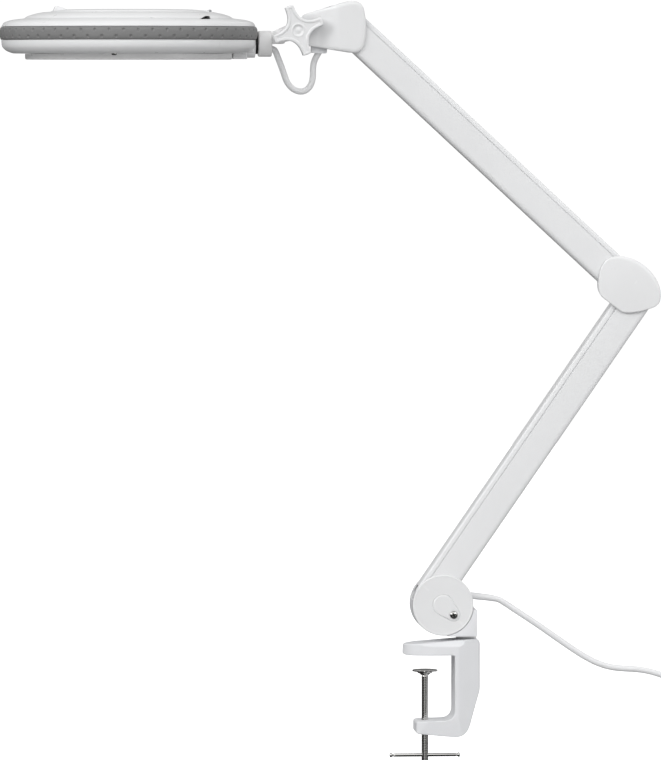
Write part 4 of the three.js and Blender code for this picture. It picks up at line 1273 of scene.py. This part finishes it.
HEAD_CENTRE = (HEAD_X, 0)
SCREW_ANGLES = [math.radians(angle) for angle in (260, 140, 35)]
SCREW_CIRCLE = 100              # radius that the screws sit on


def head_spot(radius, angle):
    """A place (x, y) on the head, from the lens axis."""
    return HEAD_X + radius * math.cos(angle), radius * math.sin(angle)


def lower_housing():
    profile = rounded([
        (61, 552.2), (61, 550.4), (65, 550.4), (65, UNDERSIDE, .5), (103.5, UNDERSIDE, 1.2),
        (109.5, 543.6, 3), (112.9, 546.9, 3), (HEAD_RADIUS, 549.7, 1.5),
        (HEAD_RADIUS, BAND_LOW - GAP, .4), (111.6, BAND_LOW - GAP),
        (111.6, 549), (108, 545.4), (102, 543.6), (67, 543.6), (67, 559, .4), (64.6, 559, .4), (64.6, 552.2),
    ])
    housing = lathe("fine_lower_housing", profile, HEAD_CENTRE, "Z", 192)
    boss = soften(block("boss", (-186, -155), (-11, 11), (UNDERSIDE + 1, BAND_LOW - 1)), 1.6, 4)
    join(housing, freeze(boss))
    foot = soften(block("foot", (-173.5, -161), (-9, 9), (RING_LOW + 0.4, UNDERSIDE + 2)), 0.8, 3)
    join(housing, freeze(foot))
    nose = lathe("nose", rounded([(0, -172), (10.5, -172), (10.5, -153.4, 1.0), (0, -153.4)], False),
                 (0, ROLL_Z - 2), "X", 96, closed=False)
    join(housing, keep(nose, block("lid", (-200, -100), (-20, 20), (500, BAND_LOW - GAP))))
    cut(housing, rod("bore", (0, ROLL_Z), SPIGOT_RADIUS + GAP, -180, -100, "X"))
    for angle in SCREW_ANGLES:
        cut(housing, rod("hole", head_spot(SCREW_CIRCLE, angle), 1.8, 530, 548, "Z", 32))
    return stand_in(smooth(housing, 30), "white_plastic", "lower_housing")


def upper_housing():
    profile = rounded([
        (67.6, 560), (69.4, 560), (69.4, 574.6), (90, 571.6), (108, 568), (111, BAND_HIGH + GAP),
        (HEAD_RADIUS, BAND_HIGH + GAP, .4), (111.9, 569.3, 1.6), (105, 571.5, 2.2), (93.4, 572.9, .8),
        (90.6, 574.9, 1.2),
        (84, 577, 1.6), (75.6, LID_SEAT + 1, .4), (74.6, LID_SEAT), (67.6, LID_SEAT),
    ])
    housing = lathe("fine_upper_housing", profile, HEAD_CENTRE, "Z", 192)
    for low, high in ((-16, -12.4), (12.4, 16)):
        lug = join(rod("lug", LID_HINGE, 1.7, low, high, "Y", 32),
                   block("web", (LID_HINGE[0] - 1.2, LID_HINGE[0] + 1.2), (low, high), (576.6, 579)))
        join(housing, lug)
    cut(housing, rod("pin", LID_HINGE, 1.1, -20, 20, "Y", 32))
    cut(housing, rod("button", head_spot(BUTTON_RADIUS, BUTTON_ANGLE), 6.3, 560, 600, "Z", 64))
    # A small wedge-shaped slot opens in the tier's side, towards the neck.
    slot = [(-207.5, 571.7), (-197.4, 571.7), (-197.8, 574.5), (-201.5, 574.7)]
    cut(housing, prism("slot", slot, -90, -48))
    return stand_in(smooth(housing, 30), "white_plastic", "upper_housing")


def grip_band():
    """The rubber rim: a bulged band with two staggered rows of round dimples."""
    pitches, columns, rows = 56, 26, 34
    dimple, depth = 1.75, 1.2
    total = pitches * columns
    mid, half = (BAND_LOW + BAND_HIGH) / 2, (BAND_HIGH - BAND_LOW) / 2
    turns = 2 * math.pi * np.arange(total) / total
    heights = mid + half * np.sin(np.linspace(-math.pi / 2, math.pi / 2, rows))
    bulge = BAND_RADIUS - 1.5 * np.abs((heights - mid) / half) ** 3.2
    arc = turns * BAND_RADIUS
    pitch = 2 * math.pi * BAND_RADIUS / pitches
    points = []
    for h, r in zip(heights, bulge):
        hollow = np.zeros(total)
        for row_height, shift in ((mid + 2.9, 0.25), (mid - 2.9, 0.75)):
            offset = (arc / pitch - shift + 0.5) % 1 - 0.5
            away = np.hypot(offset * pitch, h - row_height)
            hollow = np.maximum(hollow, depth * (1 - smoothstep(away, 0.4, dimple)))
        radius = r - hollow
        points += [(HEAD_X + q * math.cos(a), q * math.sin(a), float(h)) for q, a in zip(radius, turns)]
    for h in (BAND_HIGH - 0.05, BAND_LOW + 0.05):
        points += [(HEAD_X + 112.2 * math.cos(a), 112.2 * math.sin(a), h) for a in turns]
    band = add_mesh("fine_grip_band", points, bands([*range(rows + 2), 0], total))
    cut(band, rod("notch", (0, ROLL_Z), SPIGOT_RADIUS + GAP, -170, -100, "X", 48))
    return stand_in(smooth(band, 50), "grip_rubber", "grip_band")


def lens():
    half, edge, steps = 5.4, 1.6, 24
    face = [(LENS_RADIUS * i / steps, half - (half - edge) * (i / steps) ** 2) for i in range(steps + 1)]
    profile = [(r, LENS_MID - h) for r, h in face] + [(r, LENS_MID + h) for r, h in reversed(face)]
    glass = smooth(lathe("fine_lens", profile, HEAD_CENTRE, "Z", 192, closed=False), 30)
    return stand_in(glass, "lens_glass", "lens")


def retaining_ring():
    profile = rounded([(61, 556.5), (64.2, 556.5), (64.2, 558.6, .3), (61, 558.6, .6)])
    return stand_in(smooth(lathe("fine_lens_retaining_ring", profile, HEAD_CENTRE, "Z", 160)), "grey_plastic",
                    "lens_retaining_ring")


def light_ring():
    profile = rounded([
        (67.4, RING_HIGH), (67.4, RING_LOW, 1.2), (RING_RADIUS, RING_LOW, 1.6), (RING_RADIUS, RING_HIGH),
        (RING_RADIUS - 1.4, RING_HIGH), (RING_RADIUS - 1.4, RING_LOW + 1.4), (68.8, RING_LOW + 1.4),
        (68.8, RING_HIGH),
    ])
    return stand_in(smooth(lathe("fine_light_ring_cover", profile, HEAD_CENTRE, "Z", 192), 30), "diffuser",
                    "light_ring_cover")


def lens_cover():
    """The hinged lid: a shallow dished disc with a lift tab and a hinge knuckle."""
    profile = rounded([
        (0, LID_SEAT + GAP), (LID_RADIUS, LID_SEAT + GAP), (LID_RADIUS, LID_SEAT + 1.3, .4),
        (LID_RADIUS - 2.2, LID_TOP - 0.9, 1.0), (LID_RADIUS - 14, LID_TOP, 4), (0, LID_TOP),
    ], False)
    lid = lathe("fine_lens_cover", profile, HEAD_CENTRE, "Z", 192, closed=False)
    leaf = block("leaf", (HEAD_X + LID_RADIUS - 4, LID_HINGE[0]), (-12, 12),
                 (LID_SEAT + GAP + 0.2, LID_TOP - 0.8))
    join(lid, join(rod("knuckle", LID_HINGE, 1.4, -12, 12, "Y", 32), leaf))
    tab = trace((-334, 579), (-322, 579.5), (-322, LID_TOP), ((-326, 582.4), (-330, 583.9)),
                ((-332.4, 584.3), (-333.2, 582.6)), (-334.4, 580), count=6)
    join(lid, freeze(soften(prism("tab", tab, -9, 9), 0.5, 3)))
    cut(lid, rod("pin", LID_HINGE, 1.1, -20, 20, "Y", 32))
    return stand_in(smooth(lid, 30), "white_plastic", "lens_cover")


def power_button():
    profile = [(0, 571), (6, 571), (6, 580, .9), (4.2, 580, .3), (3.4, 579.55, .3), (0, 579.5)]
    spot = head_spot(BUTTON_RADIUS, BUTTON_ANGLE)
    button = lathe("fine_power_button", rounded(profile, False), spot, "Z", 64, closed=False)
    return stand_in(smooth(button), "grey_plastic", "power_button")


def housing_screw(index, angle):
    x, y = head_spot(SCREW_CIRCLE, angle)
    low = UNDERSIDE - GAP - 1.4
    profile = rounded([
        (0, low), (1.6, low, .3), (2.6, low + 0.7, .4), (2.6, UNDERSIDE - GAP), (1.5, UNDERSIDE - GAP),
        (1.5, 547.5, .3), (0, 547.5),
    ], False)
    screw = lathe(f"fine_housing_screw_{index}", profile, (x, y), "Z", 40, closed=False)
    cut(screw, *phillips(x, y, low, 1.4, 0.7, "Z"))
    return stand_in(smooth(screw), "chrome", f"housing_screw_{index}")


lower_housing()
upper_housing()
grip_band()
lens()
retaining_ring()
light_ring()
lens_cover()
power_button()
for number, screw_angle in enumerate(SCREW_ANGLES, 1):
    housing_screw(number, screw_angle)

# ---------------------------------------------------------------- carried-over CAD nodes

for node, slot_name in NODE_LOOKS.items():
    dress(frame["nodes"][node], slot_name)

# ---------------------------------------------------------------- floor and light


def seen_or_lit(nodes, seen, lit, socket):
    """The camera sees one shader, while light bounces and reflections come from the other."""
    pick = nodes.add("ShaderNodeMixShader")
    nodes.link(nodes.add("ShaderNodeLightPath").outputs["Is Camera Ray"], pick.inputs[0])
    nodes.link(lit, pick.inputs[1])
    nodes.link(seen, pick.inputs[2])
    nodes.link(pick.outputs[0], socket)


def make_floor():
    floor = block("floor", (-5000, 5000), (-5000, 5000), (FLOOR - 5, FLOOR - 0.02))
    look = bpy.data.materials.new("floor")
    look.use_nodes = True
    nodes = Nodes(look.node_tree)
    out = nodes.add("ShaderNodeOutputMaterial")
    coords = nodes.add("ShaderNodeTexCoord").outputs["Object"]
    faint = nodes.ramp(nodes.noise(coords, 3), 0.3, 0.7, 0, 1)
    pale = nodes.add("ShaderNodeBsdfPrincipled")
    nodes.link(nodes.mix(faint, grey(0.92), grey(0.95)), pale.inputs["Base Color"])
    pale.inputs["Roughness"].default_value = 0.9
    pale.inputs["Emission Color"].default_value = grey(1.0)
    pale.inputs["Emission Strength"].default_value = 0.55
    dim = nodes.add("ShaderNodeBsdfDiffuse")
    dim.inputs["Color"].default_value = grey(0.5)
    seen_or_lit(nodes, pale.outputs[0], dim.outputs[0], out.inputs["Surface"])
    floor.data.materials.append(look)
    floor.visible_glossy = False


def make_world():
    """A white studio: a soft box in front, a dome above, and narrow strips that the metal mirrors."""
    world = bpy.data.worlds.new("studio")
    bpy.context.scene.world = world
    world.use_nodes = True
    nodes = Nodes(world.node_tree)
    out = nodes.add("ShaderNodeOutputWorld")
    seen = nodes.add("ShaderNodeBackground")
    seen.inputs["Color"].default_value = grey(1.0)
    seen.inputs["Strength"].default_value = 1.05
    lit = nodes.add("ShaderNodeBackground")
    lit.inputs["Color"].default_value = grey(1.0)
    split = nodes.add("ShaderNodeSeparateXYZ")
    nodes.link(nodes.add("ShaderNodeTexCoord").outputs["Generated"], split.inputs[0])
    x, y, z = split.outputs
    front = nodes.ramp(y, 0.25, -0.35, 0, 1)
    raised = nodes.math("MULTIPLY", nodes.ramp(z, 0.16, 0.3, 0, 1), nodes.ramp(z, 0.82, 0.66, 0, 1))
    sideways = nodes.ramp(x, -0.9, 0.9, 1.25, 0.62)
    ahead = nodes.math("MULTIPLY", front, raised)
    box = nodes.math("MULTIPLY", ahead, nodes.math("MULTIPLY", sideways, FRONT_BOX))
    dome = nodes.ramp(z, -0.05, 0.5, HORIZON, DOME)
    level = nodes.math("ADD", box, dome)
    for centre, width, strength in STRIPS:
        away = nodes.math("ABSOLUTE", nodes.math("SUBTRACT", x, centre), 0)
        across = nodes.ramp(away, width, width + 0.03, strength, 0)
        strip = nodes.math("MULTIPLY", across, nodes.ramp(y, -0.1, -0.2, 0, 1))
        upright = nodes.ramp(nodes.math("ABSOLUTE", z, 0), 0.5, 0.6, 1, 0)
        level = nodes.math("ADD", level, nodes.math("MULTIPLY", strip, upright))
    nodes.link(level, lit.inputs["Strength"])
    seen_or_lit(nodes, seen.outputs[0], lit.outputs[0], out.inputs["Surface"])


def make_lamp(name, place, aim, size, power):
    data = bpy.data.lights.new(name, "AREA")
    data.shape = "RECTANGLE"
    data.size, data.size_y = size
    data.energy = power
    lamp = bpy.data.objects.new(name, data)
    lamp.location = place
    lamp.rotation_euler = (Vector(aim) - Vector(place)).to_track_quat("-Z", "Y").to_euler()
    lamp.visible_camera = False
    bpy.context.scene.collection.objects.link(lamp)


FRONT_BOX = 1.35                # strength of the soft box above the camera
HORIZON = 0.03                 # the dim band that upright metal mirrors
DOME = 0.6
STRIPS = ((-0.16, 0.05, 1.5), (0.50, 0.03, 0.7), (0.9, 0.02, 0.5))   # place across X, half width, strength

make_floor()
make_world()
make_lamp("key", (-2.9, -2.1, 1.9), (0, 0, 0.3), (1.2, 1.0), 22)
make_lamp("fill", (0.6, -0.7, 0.55), (0.19, 0, 0.33), (0.16, 0.3), 0.6)
make_lamp("rim", (1.4, 1.8, 1.9), (0, 0, 0.3), (1.2, 1.2), 3)
bpy.context.scene.view_settings.view_transform = "Standard"
